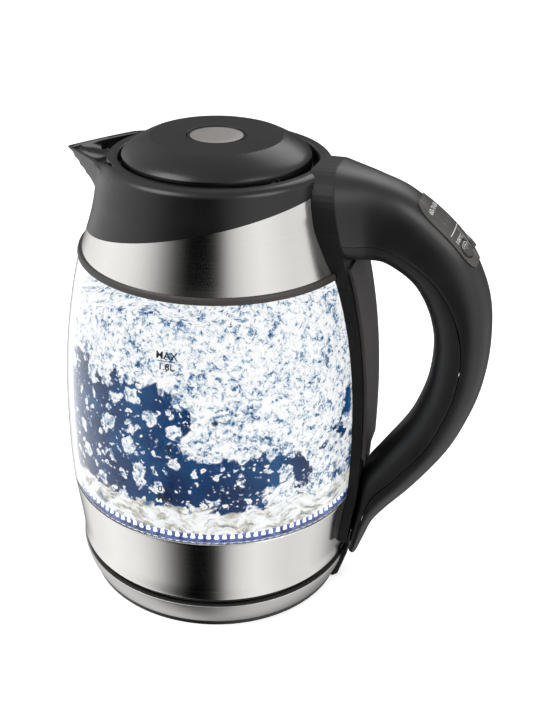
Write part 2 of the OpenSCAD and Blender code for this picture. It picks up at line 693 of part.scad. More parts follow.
strap_low_screw_z = 44;
strap_top_screw_z = rim_z - 7.3;
strap_outline = [[14, strap_low_z], [15.6, strap_low_z + 1.6], [16.6, strap_low_z + 9],
    [17.6, lift(80)], [18.6, lift(130)], [19.6, lift(160)], [21.6, lift(185)],
    [24, lift(202)], [root_half_w, lift(214)]];
root_mid_z = (root_low_z + root_top_z) / 2;
root_half_h = (root_top_z - root_low_z) / 2;

module strap_front_view() {
    polygon(concat([for (p = strap_outline) p], [for (p = down(strap_outline)) [-p[0], p[1]]]));
    polygon([for (a = [0:7.5:352.5])
        [root_half_w * signed_pow(cos(a), 2 / grip_roundness),
            root_mid_z + root_half_h * signed_pow(sin(a), 2 / grip_roundness)]]);
}

module strap_side_view(gap_in, gap_out, z0, z1) polygon(concat(
    [for (z = span(z0, z1, 30)) [gap_in < 0 ? 30 : body_r(z) + gap_in, z]],
    [for (z = span(z1, z0, 30)) [strap_x(z) + gap_out, z]]));

module side_slab(half_w) translate([0, half_w, 0]) rotate([90, 0, 0])
    linear_extrude(2 * half_w) children();

module jug_space() {
    rotate_extrude() polygon(concat([[0, 10]],
        [for (z = span(10, collar_low_z)) [body_r(z) + seat_gap, z]], collar_outline(seat_gap),
        [[rim_r - 1.2, rim_z + 21.7], [0, rim_z + 21.7]]));
    // The seal stands a little proud of the glass
    ring(60, jug_top_r + 0.7 + seat_gap, jug_top_z - seat_gap, jug_top_z + top_seal_h + seat_gap);
}

module handle_strap() color(black) difference() {
    intersection() {
        side_slab(40) strap_side_view(-1, 0, strap_low_z, root_top_z);
        translate([20, 0, 0]) rotate([90, 0, 90]) linear_extrude(80) strap_front_view();
    }
    jug_space();
    // Channel for the ribbon cable
    side_slab(4.4) strap_side_view(1.7, 1, strap_low_screw_z + 9, root_low_z + 3);
    for (z = [strap_low_screw_z, strap_top_screw_z]) translate([45, 0, z]) rotate([0, 90, 0]) {
        cylinder(r = screw_r + 0.35, h = 50);
        translate([0, 0, strap_x(z) - 45 - 2.2]) cylinder(r = screw_head_r + 0.4, h = 10);
    }
}

module strap_cover() color([0.13, 0.13, 0.13]) intersection() {
    side_slab(40) polygon(concat(
        [for (z = span(86, root_low_z - 1.2)) [strap_x(z) + 2 * seat_gap, z]],
        [for (z = span(root_low_z - 1.2, 86)) [strap_x(z) + strap_cover_t, z]]));
    translate([20, 0, 0]) rotate([90, 0, 90]) linear_extrude(100) polygon([
        [-15.4, 84], [15.4, 84], [17.4, lift(150)], [19, lift(200)], [-19, lift(200)],
        [-17.4, lift(150)]]);
}

module strap_screws() color(steel) for (z = [strap_low_screw_z, strap_top_screw_z])
    translate([strap_x(z) - 0.15, 0, z]) rotate([0, -90, 0]) screw(0, 11.5, 2);

module handle_ribbon() color([0.7, 0.7, 0.68]) side_slab(4)
    strap_side_view(1.9, -0.2, strap_low_screw_z + 9.4, root_low_z + 2.6);

module grip_shell(outer) loft([for (k = [0:(len(grip) - 1) * grip_steps])
    let (s = grip_at(k / grip_steps), a = outer ? s[5] : s[5] + 1.2)
    outer ? arc_ring(s, -a, a, 0, -grip_wall, 14)
          : arc_ring(s, a, 360 - a, 0, -grip_wall, 14)]);

module handle_inner_shell() color(black) grip_shell(false);

module handle_outer_shell() color([0.1, 0.1, 0.105]) difference() {
    grip_shell(true);
    // One window for both keys, which the panel covers
    key_place(0) cube([2 * (key_r + key_gap), 2 * (key_y + key_r + key_gap), 24], center = true);
}

// ---- Control panel ----

panel_t0 = 3.2;
panel_t1 = 5.25;
key_t = 4.72;
board_depth = 9;
board_size = [30, 18, 1.6];
switch_h = 3.4;
key_stations = grip_at(key_t);
key_normal = atan2(key_stations[2] - key_stations[0], key_stations[3] - key_stations[1]);

// Puts its children on the grip's surface at a key, with +Z out of the surface.
module key_place(side) {
    s = key_stations;
    h = norm([s[2] - s[0], s[3] - s[1]]) / 2;
    n = h * pow(1 - pow(key_y / s[4], grip_roundness), 1 / grip_roundness);
    translate([(s[0] + s[2]) / 2 + n * sin(key_normal), side * key_y,
        (s[1] + s[3]) / 2 + n * cos(key_normal)])
        rotate([0, key_normal, 0]) rotate([-side * key_lean, 0, 0]) children();
}

module control_panel() color([0.2, 0.19, 0.19]) difference() {
    loft([for (k = [-8:8]) let (u = k / 8.5, t = (panel_t0 + panel_t1) / 2
                + u * (panel_t1 - panel_t0) / 2,
            a = panel_half_angle * pow(1 - pow(abs(u), 4), 0.4))
        arc_ring(grip_at(t), -a, a, panel_t + 0.05, 0.05, 8)]);
    // Twelve-sided holes, whose flat walls cut the panel's facets cleanly
    for (s = [-1, 1]) key_place(s) translate([0, 0, -12]) linear_extrude(24)
        polygon([for (a = [0:30:330]) (key_r + key_gap) / cos(15) * [cos(a), sin(a)]]);
}

// The board lies under the panel, square to the keys' middle plane.
module board_place() {
    s = grip_at(4.55);
    translate([s[2] - board_depth * sin(key_normal), 0, s[3] - board_depth * cos(key_normal)])
        rotate([0, key_normal, 0]) children();
}

module control_board() color([0.1, 0.35, 0.18]) board_place()
    translate([-board_size[0] / 2, -board_size[1] / 2, -board_size[2]]) cube(board_size);

module tact_switches() color([0.15, 0.15, 0.15]) board_place() for (s = [-1, 1])
    translate([switch_shift, s * (key_y - 0.7), eps]) {
        translate([-2.5, -2.5, 0]) cube([5, 5, switch_h - 0.6]);
        cylinder(r = 1.4, h = switch_h);
    }
board_station = grip_at(4.55);
switch_shift = (key_stations[2] - board_station[2]) * cos(key_normal)
    - (key_stations[3] - board_station[3]) * sin(key_normal);

module key(side) key_place(side) translate([0, 0, -3.2])
    cylinder(r = key_r, h = 3.2 + panel_t + 0.15);

module power_key() color([0.16, 0.16, 0.16]) key(-1);

module temperature_key() color([0.16, 0.16, 0.16]) key(1);

// ---- Lid ----

module hinge_pin() color(steel) translate([hinge_x, hinge_pin_half, hinge_z])
    rotate([90, 0, 0]) cylinder(r = hinge_pin_r, h = 2 * hinge_pin_half);

module lid_spring() color(steel) translate([hinge_x, 0, hinge_z]) rotate([90, 0, 0])
    coil(hinge_pin_r + 0.9, 0.8, -7, 7, 9, 6, 12);

module lid_cover() color(black) difference() {
    rotate_extrude() polygon([
        [lid_r, lid_skirt_z], [lid_r, rim_z + 0.3], [lid_r - 0.5, rim_z + 1.7],
        [lid_r - 2.4, rim_z + 3.5], [lid_r - 5.9, lid_top_z - 3.9], [lid_r - 9.9, lid_top_z - 1.7],
        [lid_flat_r, lid_top_z], [button_r + button_gap, lid_top_z],
        [button_r + button_gap, lid_top_z - 8], [button_r + button_gap + 1.3, lid_top_z - 8],
        [button_r + button_gap + 1.3, lid_top_z - lid_wall],
        [lid_flat_r - 0.5, lid_top_z - lid_wall], [lid_r - 10.9, lid_top_z - 3.8],
        [lid_r - 6.9, lid_top_z - 5.9], [lid_r - 3.7, rim_z + 1.7], [lid_r - 2.3, rim_z + 0.1],
        [lid_r - 2.3, lid_skirt_z]]);
    // Room for the knuckles and the pin
    for (s = [-1, 1]) translate([hinge_x - 7.5, s > 0 ? knuckle_y0 - 0.6 : -knuckle_y1 - 3.6,
        lid_skirt_z - 5]) cube([30, knuckle_y1 - knuckle_y0 + 4.2, rim_z + 0.7 - lid_skirt_z + 5]);
    translate([-60, -bolt_w / 2 - 0.4, bolt_z - 0.4]) cube([25, bolt_w + 0.8, bolt_t + 0.8]);
}

module lid_liner() color([0.1, 0.1, 0.1]) difference() {
    union() {
        disc(liner_r, liner_z, liner_z + liner_t);
        difference() {
            ring(liner_r - liner_wall, liner_r, liner_z, liner_top);
            translate([hinge_x - 4, -60, liner_z + liner_t]) cube([40, 120, 20]);
        }
        // Tower that carries the button's spring
        ring(spring_seat_r - 1.6, spring_seat_r, liner_z, spring_seat_z);
        ring(7.6, spring_seat_r, spring_seat_z - 1.5, spring_seat_z);
        // Knuckles and the webs that carry them
        for (s = [-1, 1]) {
            translate([hinge_x, s * (knuckle_y0 + knuckle_y1) / 2 + (knuckle_y1 - knuckle_y0) / 2,
                hinge_z]) rotate([90, 0, 0]) cylinder(r = knuckle_r, h = knuckle_y1 - knuckle_y0);
            translate([hinge_x - 7, s > 0 ? knuckle_y0 : -knuckle_y1, liner_z + 1])
                cube([7, knuckle_y1 - knuckle_y0, hinge_z - liner_z + 0.4]);
        }
    }
    for (s = [-1, 1]) translate([hinge_x, s * 25 + 10, hinge_z]) rotate([90, 0, 0])
        cylinder(r = hinge_pin_r + hinge_fit, h = 20);
    translate([-60, -bolt_w / 2 - 0.4, bolt_z - 0.4]) cube([80, bolt_w + 0.8, bolt_t + 1]);
    // Seat of the lid's seal
    difference() {
        ring(liner_r - 1, liner_r + 5, liner_z + 0.4, liner_z + 1.7);
        disc(liner_r - 1, liner_z, liner_z + 3);
    }
}

module lid_seal() color(silicone) ring(liner_r - 0.9, lid_r + 0.3, liner_z + 0.5, liner_z + 1.6);

module lid_button() color([0.68, 0.66, 0.65]) {
    disc(button_r, button_top_z - button_t, button_top_z);
    ring(button_r - 1.6, button_r - 0.4, button_top_z - 6, button_top_z - button_t + eps);
    // Wedge that draws the bolt back as the button goes down
    side_slab(2.5) polygon([[-3, button_top_z - 1], [-3, wedge_z], [3.9, wedge_z],
        [3.9 + button_travel, wedge_z + button_travel], [3.9 + button_travel, button_top_z - 1]]);
}

module button_spring() color(steel) coil(spring_r, spring_wire, spring_seat_z + 0.5,
    button_top_z - button_t - 0.5, 5);

module latch_bolt() color([0.85, 0.85, 0.83]) difference() {
    union() {
        translate([-40, -bolt_w / 2, bolt_z]) cube([52, bolt_w, bolt_t]);
        translate([-bolt_nose_x, -bolt_w / 2 + 3, bolt_z]) cube([10, bolt_w - 6, bolt_t]);
    }
    translate([-6, -4, bolt_z - 1]) cube([10.1, 8, bolt_t + 2]);
}

base_bottom_cover();
base_trim_ring();
base_deck();
base_feet();
base_screws();
base_connector();
connector_contacts();
cord_outlet();
base_wiring();
coupler_socket();
coupler_contacts();
kettle_bottom_cover();
bottom_screws();
chassis_ring();
lower_band();
control_unit();
heating_element();
diffuser_plate();
heating_plate();
plate_seal();
led_board();
leds();
light_ring();
temperature_probe();
glass_jug();
glass_top_seal();
upper_band();
collar();
spout_filter();
handle_strap();
strap_cover();
strap_screws();
handle_ribbon();
handle_inner_shell();
handle_outer_shell();
control_panel();
control_board();
tact_switches();
hinge_pin();
lid_spring();
lid_cover();
lid_liner();
lid_seal();
lid_button();
button_spring();
latch_bolt();
power_key();
temperature_key();
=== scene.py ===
"""Looks for a cordless electric kettle: every piece rides on the body of its CAD part.

Lengths in the classes are millimetres, the world is metres. The jug's axis is Z, the
handle is on +X and the pouring beak on -X.
"""

from __future__ import annotations

import logging
import math
import random
from dataclasses import dataclass, field
from enum import Enum
from typing import Callable, Sequence

import bmesh
import bpy
from mathutils import Matrix, Vector, noise


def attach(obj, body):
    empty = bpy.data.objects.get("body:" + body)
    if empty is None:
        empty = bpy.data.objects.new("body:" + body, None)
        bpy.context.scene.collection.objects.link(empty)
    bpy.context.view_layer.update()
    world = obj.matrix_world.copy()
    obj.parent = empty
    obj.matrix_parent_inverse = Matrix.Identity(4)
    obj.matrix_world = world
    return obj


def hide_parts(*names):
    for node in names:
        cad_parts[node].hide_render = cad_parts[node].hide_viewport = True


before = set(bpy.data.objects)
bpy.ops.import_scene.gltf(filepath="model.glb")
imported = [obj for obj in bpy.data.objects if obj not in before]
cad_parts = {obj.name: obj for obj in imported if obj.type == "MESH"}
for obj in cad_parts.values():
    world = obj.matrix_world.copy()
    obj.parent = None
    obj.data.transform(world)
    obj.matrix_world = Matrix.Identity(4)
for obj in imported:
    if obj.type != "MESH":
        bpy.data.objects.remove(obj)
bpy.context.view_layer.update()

MM = 0.001
log = logging.getLogger("kettle")

Colour = tuple[float, float, float, float]
Socket = tuple[bpy.types.Node, str]


# ---- Small tools ----


def linear(hex_colour: str) -> Colour:
    """Turns six sRGB hex digits, such as "#A5A3A0", into a shader socket's linear colour."""
    digits = hex_colour.lstrip("#")
    channels = [int(digits[i : i + 2], 16) / 255 for i in (0, 2, 4)]
    return (
        *(c / 12.92 if c <= 0.04045 else ((c + 0.055) / 1.055) ** 2.4 for c in channels),
        1.0,
    )


def add_node(
    tree: bpy.types.NodeTree,
    kind: str,
    values: dict | None = None,
    links: dict | None = None,
    stops: Sequence[tuple[float, Colour]] = (),
    **settings: object,
) -> bpy.types.Node:
    """Adds one node with its settings, its socket values and its incoming links.

    Args:
        tree: The node tree to add to.
        kind: Blender's name for the node's type.
        values: Socket name or number to the value set on it.
        links: Socket name or number to the (node, output) that feeds it.
        stops: For a colour ramp, places from 0 to 1, each with its linear colour.
        settings: Properties of the node itself.

    Returns:
        The new node.
    """
    node = tree.nodes.new(kind)
    for name, value in settings.items():
        setattr(node, name, value)
    for socket, value in (values or {}).items():
        node.inputs[socket].default_value = value
    for socket, (source, output) in (links or {}).items():
        tree.links.new(source.outputs[output], node.inputs[socket])
    for i, (place, colour) in enumerate(stops):
        if i >= len(node.color_ramp.elements):
            node.color_ramp.elements.new(place)
        node.color_ramp.elements[i].position = place
        node.color_ramp.elements[i].color = colour
    return node


def grey(value: float) -> Colour:
    """A linear grey for a ramp's stop."""
    return (value, value, value, 1.0)


# ---- Finishes ----


@dataclass(frozen=True)
class Finish:
    """A surface finish. A subclass adds the pattern that its real material has."""

    name: str
    colour: str
    roughness: float
    ior: float = 1.5
    metallic: float = 0.0

    def start(self) -> tuple[bpy.types.Material, bpy.types.Node, bpy.types.Node]:
        """Makes the material with its shader and object coordinates.

        Returns:
            The material, its Principled shader and its Texture Coordinate node.
        """
        material = bpy.data.materials.new(self.name)
        material.use_nodes = True
        tree = material.node_tree
        tree.nodes.clear()
        shader = add_node(
            tree,
            "ShaderNodeBsdfPrincipled",
            {
                "Base Color": linear(self.colour),
                "Roughness": self.roughness,
                "IOR": self.ior,
                "Metallic": self.metallic,
            },
        )
        add_node(tree, "ShaderNodeOutputMaterial", links={"Surface": (shader, "BSDF")})
        material.diffuse_color = linear(self.colour)
        return material, shader, add_node(tree, "ShaderNodeTexCoord")

    def roughen(
        self,
        tree: bpy.types.NodeTree,
        shader: bpy.types.Node,
        pattern: Socket,
        span: tuple[float, float],
        swing: tuple[float, float],
        shade: tuple[float, float],
    ) -> None:
        """Varies the shader's roughness and colour with a pattern.

        Args:
            tree: The material's node tree.
            shader: Its Principled shader.
            pattern: The pattern's output.
            span: The pattern's values that count as low and high.
            swing: Change of roughness at low and at high.
            shade: Factor on the colour at low and at high.
        """
        rough = add_node(
            tree,
            "ShaderNodeMapRange",
            {
                "From Min": span[0],
                "From Max": span[1],
                "To Min": self.roughness + swing[0],
                "To Max": self.roughness + swing[1],
            },
            {"Value": pattern},
        )
        red, green, blue, _ = linear(self.colour)
        tone = add_node(
            tree,
            "ShaderNodeValToRGB",
            links={"Fac": pattern},
            stops=[
                (place, (*(min(1.0, c * factor) for c in (red, green, blue)), 1.0))
                for place, factor in zip(span, shade)
            ],
        )
        tree.links.new(rough.outputs["Result"], shader.inputs["Roughness"])
        tree.links.new(tone.outputs["Color"], shader.inputs["Base Color"])

    def build(self) -> bpy.types.Material:
        """Makes the material. Each subclass draws its own pattern."""
        raise NotImplementedError


@dataclass(frozen=True)
class MouldedPlastic(Finish):
    """Injection-moulded plastic: a fine spark-eroded grain under a soft sheen."""

    grain_mm: float = 0.9
    grain_depth_mm: float = 0.012
    mottle: float = 0.05

    def build(self) -> bpy.types.Material:
        """Makes the material with its grain and faint handling marks."""
        material, shader, coords = self.start()
        tree = material.node_tree
        object_space = {"Vector": (coords, "Object")}
        # The real grain is about 0.1 mm; it is drawn coarser, so that it shows.
        grain = add_node(
            tree,
            "ShaderNodeTexNoise",
            {"Scale": 1 / (self.grain_mm * MM), "Detail": 2.0, "Roughness": 0.6},
            object_space,
        )
        cloud = add_node(
            tree, "ShaderNodeTexNoise", {"Scale": 45.0, "Detail": 3.0}, object_space
        )
        bump = add_node(
            tree,
            "ShaderNodeBump",
            {"Strength": 0.35, "Distance": self.grain_depth_mm * MM},
            {"Height": (grain, "Fac")},
        )
        tree.links.new(bump.outputs["Normal"], shader.inputs["Normal"])
        swing, shade = (-self.mottle, self.mottle), (0.9, 1.1)
        self.roughen(tree, shader, (cloud, "Fac"), (0.3, 0.7), swing, shade)
        return material


@dataclass(frozen=True)
class BrushedMetal(Finish):
    """Sheet metal brushed around the jug: fine level scratches that stretch reflections."""

    stroke_mm: float = 0.4
    stroke_length_mm: float = 60.0
    anisotropy: float = 0.75
    metallic: float = 1.0

    def build(self) -> bpy.types.Material:
        """Makes the material with its brushed strokes."""
        material, shader, coords = self.start()
        tree = material.node_tree
        shader.inputs["Anisotropic"].default_value = self.anisotropy
        tangent = add_node(tree, "ShaderNodeTangent", direction_type="RADIAL", axis="Z")
        tree.links.new(tangent.outputs["Tangent"], shader.inputs["Tangent"])
        stretch = add_node(
            tree,
            "ShaderNodeMapping",
            {
                "Scale": [
                    1 / (size * MM)
                    for size in (self.stroke_length_mm, self.stroke_length_mm, self.stroke_mm)
                ]
            },
            {"Vector": (coords, "Object")},
        )
        stroke = add_node(
            tree,
            "ShaderNodeTexNoise",
            {"Scale": 1.0, "Detail": 4.0, "Roughness": 0.7},
            {"Vector": (stretch, "Vector")},
        )
        bump = add_node(
            tree,
            "ShaderNodeBump",
            {"Strength": 0.05, "Distance": 0.004 * MM},
            {"Height": (stroke, "Fac")},
        )
        tree.links.new(bump.outputs["Normal"], shader.inputs["Normal"])
        swing, shade = (-0.03, 0.04), (0.96, 1.03)
        self.roughen(tree, shader, (stroke, "Fac"), (0.25, 0.75), swing, shade)
        return material


@dataclass(frozen=True)
class ClearGlass(Finish):
    """Blown borosilicate glass or a clear moulding: transparent, with a faint waviness."""

    wave_mm: float = 30.0
    wave_depth_mm: float = 0.02

    def build(self) -> bpy.types.Material:
        """Makes the material with the slow waves that blown glass has."""
        material, shader, coords = self.start()
        tree = material.node_tree
        shader.inputs["Transmission Weight"].default_value = 1.0
        wave = add_node(
            tree,
            "ShaderNodeTexNoise",
            {"Scale": 1 / (self.wave_mm * MM), "Detail": 1.0},
            {"Vector": (coords, "Object")},
        )
        bump = add_node(
            tree,
            "ShaderNodeBump",
            {"Strength": 0.2, "Distance": self.wave_depth_mm * MM},
            {"Height": (wave, "Fac")},
        )
        tree.links.new(bump.outputs["Normal"], shader.inputs["Normal"])
        return material


@dataclass(frozen=True)
class Glowing(Finish):
    """A part that glows, with soft clouds in its brightness: the lamps and the light ring glow
    from inside, the bubbles and the white print with painted light, and the floor evenly.
    """

    glow: float = 1.0
    cloud_mm: float = 4.0
    second: str = "#FFFFFF"

    def build(self) -> bpy.types.Material:
        """Makes the material with two tones of light."""
        material, shader, coords = self.start()
        tree = material.node_tree
        cloud = add_node(
            tree,
            "ShaderNodeTexNoise",
            {"Scale": 1 / (self.cloud_mm * MM), "Detail": 3.0},
            {"Vector": (coords, "Object")},
        )
        tone = add_node(
            tree,
            "ShaderNodeValToRGB",
            links={"Fac": (cloud, "Fac")},
            stops=((0.35, linear(self.colour)), (0.65, linear(self.second))),
        )
        tree.links.new(tone.outputs["Color"], shader.inputs["Base Color"])
        tree.links.new(tone.outputs["Color"], shader.inputs["Emission Color"])
        shader.inputs["Emission Strength"].default_value = self.glow
        return material


@dataclass(frozen=True)
class Cloud:
    """One layer of noise in the water, and the space that it stirs for later layers."""

    space: str
    size_mm: float
    detail: float
    roughness: float
    stretch: float = 1.0
    stirs: str = ""
    stir_mm: float = 0.0


@dataclass(frozen=True)
class BoilingWater(Finish):
    """Water at the boil over blue lamps: deep blue, broken by bubbles and pale foam, all painted
    as glow in place of the lamps' light in the water.

    The foam grows towards the surface and the handle's side. Near the floor, warm pale streaks
    are painted light: the lit steel plate seen through the water.
    """

    floor_z: float = 60.0
    surface_z: float = 184.0
    # Strength of the emission that paints the lamps' light in the water.
    glow: float = 0.97
    # Mask edges of the painted foam light and of the painted light off the plate.
    foam_edge: tuple[float, float] = (0.57, 0.60)
    plate_light_edge: tuple[float, float] = (0.48, 0.56)
    # Spacing of the bubbles in millimetres, and their radius as a share of it.
    bubble_sizes: tuple[tuple[float, float], ...] = ((3.4, 0.2), (6.5, 0.3), (12.0, 0.36))
    # Glow colours, all painted light: clear water, lit foam, and the light off the plate.
    clear_tones: tuple[tuple[float, str], ...] = (
        (0.35, "#001F4C"), (0.52, "#003566"), (0.68, "#054C7C"),
    )
    foam_tones: tuple[tuple[float, str], ...] = (
        (0.35, "#0B3C72"), (0.40, "#4E82AC"), (0.44, "#BCCAD7"), (0.48, "#E6EBEF"),
        (0.53, "#FFFFFF"),
    )
    plate_light_tones: tuple[tuple[float, str], ...] = (
        (0.34, "#4F7E9C"), (0.41, "#B7B1A2"), (0.46, "#DAD8D0"), (0.52, "#F3F6F6"),
        (0.6, "#FFFFFF"),
    )

    def clouds(
        self, tree: bpy.types.NodeTree, coords: bpy.types.Node
    ) -> tuple[dict[str, Socket], dict[str, Socket]]:
        """Adds the layers of noise in order, each in a space that others have stirred.

        Args:
            tree: The material's node tree.
            coords: Its Texture Coordinate node.

        Returns:
            The spaces and the layers, by name.
        """
        spaces, layers = {"still": (coords, "Object")}, {}
        for name, cloud in {
            "wander": Cloud("still", 22.0, 3.0, 0.5, stirs="swirl", stir_mm=24.0),
            "ripple": Cloud("still", 4.5, 3.0, 0.55, stirs="bubbling", stir_mm=7.0),
            "foam": Cloud("swirl", 30.0, 9.0, 0.62),
            "speckle": Cloud("bubbling", 2.6, 7.0, 0.72),
            "tint": Cloud("swirl", 9.0, 4.0, 0.6),
            "streak": Cloud("swirl", 10.0, 8.0, 0.7, stretch=2.4),
        }.items():
            stretched = add_node(
                tree,
                "ShaderNodeMapping",
                {"Scale": (1.0, 1.0, cloud.stretch)},
                {"Vector": spaces[cloud.space]},
            )
            pattern = add_node(
                tree,
                "ShaderNodeTexNoise",
                {
                    "Scale": 1 / (cloud.size_mm * MM),
                    "Detail": cloud.detail,
                    "Roughness": cloud.roughness,
                },
                {"Vector": (stretched, "Vector")},
            )
            layers[name] = (pattern, "Fac")
            if cloud.stirs:
                moved = add_node(
                    tree,
                    "ShaderNodeVectorMath",
                    {1: (cloud.stir_mm * MM,) * 3},
                    {0: (pattern, "Color"), 2: spaces["still"]},
                    operation="MULTIPLY_ADD",
                )
                spaces[cloud.stirs] = (moved, "Vector")
        return spaces, layers

    def build(self) -> bpy.types.Material:
        """Makes the glowing material out of a foam mask, three sizes of bubble and floor streaks,
        all painted light.
        """
        material, shader, coords = self.start()
        tree = material.node_tree
        spaces, layers = self.clouds(tree, coords)
        place = add_node(tree, "ShaderNodeSeparateXYZ", links={"Vector": (coords, "Object")})
        mottle = add_node(
            tree,
            "ShaderNodeMath",
            {1: 0.35, 2: -0.175},
            {0: layers["tint"]},
            operation="MULTIPLY_ADD",
        )
        # Each level is a layer raised or lowered by slopes over the water's height and width.
        levels = {"foam": layers["foam"], "floor": layers["tint"]}
        for level, axis, span_mm, result in (
            ("foam", "Z", (self.floor_z + 35, self.surface_z - 22), (-0.09, 0.17)),
            ("foam", "Z", (self.surface_z - 40, self.surface_z - 18), (0.0, 0.16)),
            ("foam", "X", (-20.0, 55.0), (-0.035, 0.17)),
            # The painted light off the plate fades out upwards from the floor.
            ("floor", "Z", (self.floor_z + 14, self.floor_z + 26), (0.3, -0.3)),
        ):
            slope = add_node(
                tree,
                "ShaderNodeMapRange",
                {
                    "From Min": span_mm[0] * MM,
                    "From Max": span_mm[1] * MM,
                    "To Min": result[0],
                    "To Max": result[1],
                },
                {"Value": (place, axis)},
            )
            total = add_node(
                tree,
                "ShaderNodeMath",
                links={0: levels[level], 1: (slope, "Result")},
                operation="ADD",
            )
            levels[level] = (total, "Value")
        grain = add_node(
            tree,
            "ShaderNodeMath",
            links={0: layers["speckle"], 1: (mottle, "Value")},
            operation="ADD",
        )
        ramps = {}
        for name, source, stops in (
            ("clear", layers["wander"], self.clear_tones),
            ("foam", (grain, "Value"), self.foam_tones),
            ("floor", layers["streak"], self.plate_light_tones),
        ):
            ramp = add_node(
                tree,
                "ShaderNodeValToRGB",
                links={"Fac": source},
                stops=[(place_, linear(colour)) for place_, colour in stops],
            )
            ramps[name] = (ramp, "Color")
        coats = [
            (*self.bubble_mask(tree, spaces["bubbling"], size_mm, reach), ramps["foam"])
            for size_mm, reach in self.bubble_sizes
        ]
        for name, edge in (("foam", self.foam_edge), ("floor", self.plate_light_edge)):
            stops = [(edge[0], grey(0)), (edge[1], grey(1))]
            coats.append((levels[name], stops, ramps[name]))
        whole = ramps["clear"]
        for source, stops, tone in coats:
            mask = add_node(tree, "ShaderNodeValToRGB", links={"Fac": source}, stops=stops)
            mixed = add_node(
                tree,
                "ShaderNodeMix",
                links={0: (mask, "Color"), 6: whole, 7: tone},
                data_type="RGBA",
            )
            whole = (mixed, "Result")
        # The whole pattern drives the emission: painted light, not the water's own colour.
        tree.links.new(whole[0].outputs[whole[1]], shader.inputs["Emission Color"])
        shader.inputs["Base Color"].default_value = linear("#02121F")
        shader.inputs["Emission Strength"].default_value = self.glow
        return material

    def bubble_mask(
        self, tree: bpy.types.NodeTree, space: Socket, size_mm: float, reach: float
    ) -> tuple[Socket, list[tuple[float, Colour]]]:
        """Draws round bubbles of one size in painted light, brightest in a ring near their edge
        as a painted highlight.

        Args:
            tree: The material's node tree.
            space: The output that places the bubbles.
            size_mm: Spacing of the bubbles.
            reach: Radius of a bubble as a share of the spacing.

        Returns:
            The distance to the nearest bubble's middle, and the stops that mask it.
        """
        cells = add_node(
            tree,
            "ShaderNodeTexVoronoi",
            {"Scale": 1 / (size_mm * MM), "Randomness": 1.0},
            {"Vector": space},
        )
        # Brightness from a bubble's middle to its edge: a painted highlight ring.
        shares = ((0.0, 0.55), (0.5, 0.9), (0.85, 1.0), (1.0, 0.0))
        return (cells, "Distance"), [(reach * share, grey(value)) for share, value in shares]


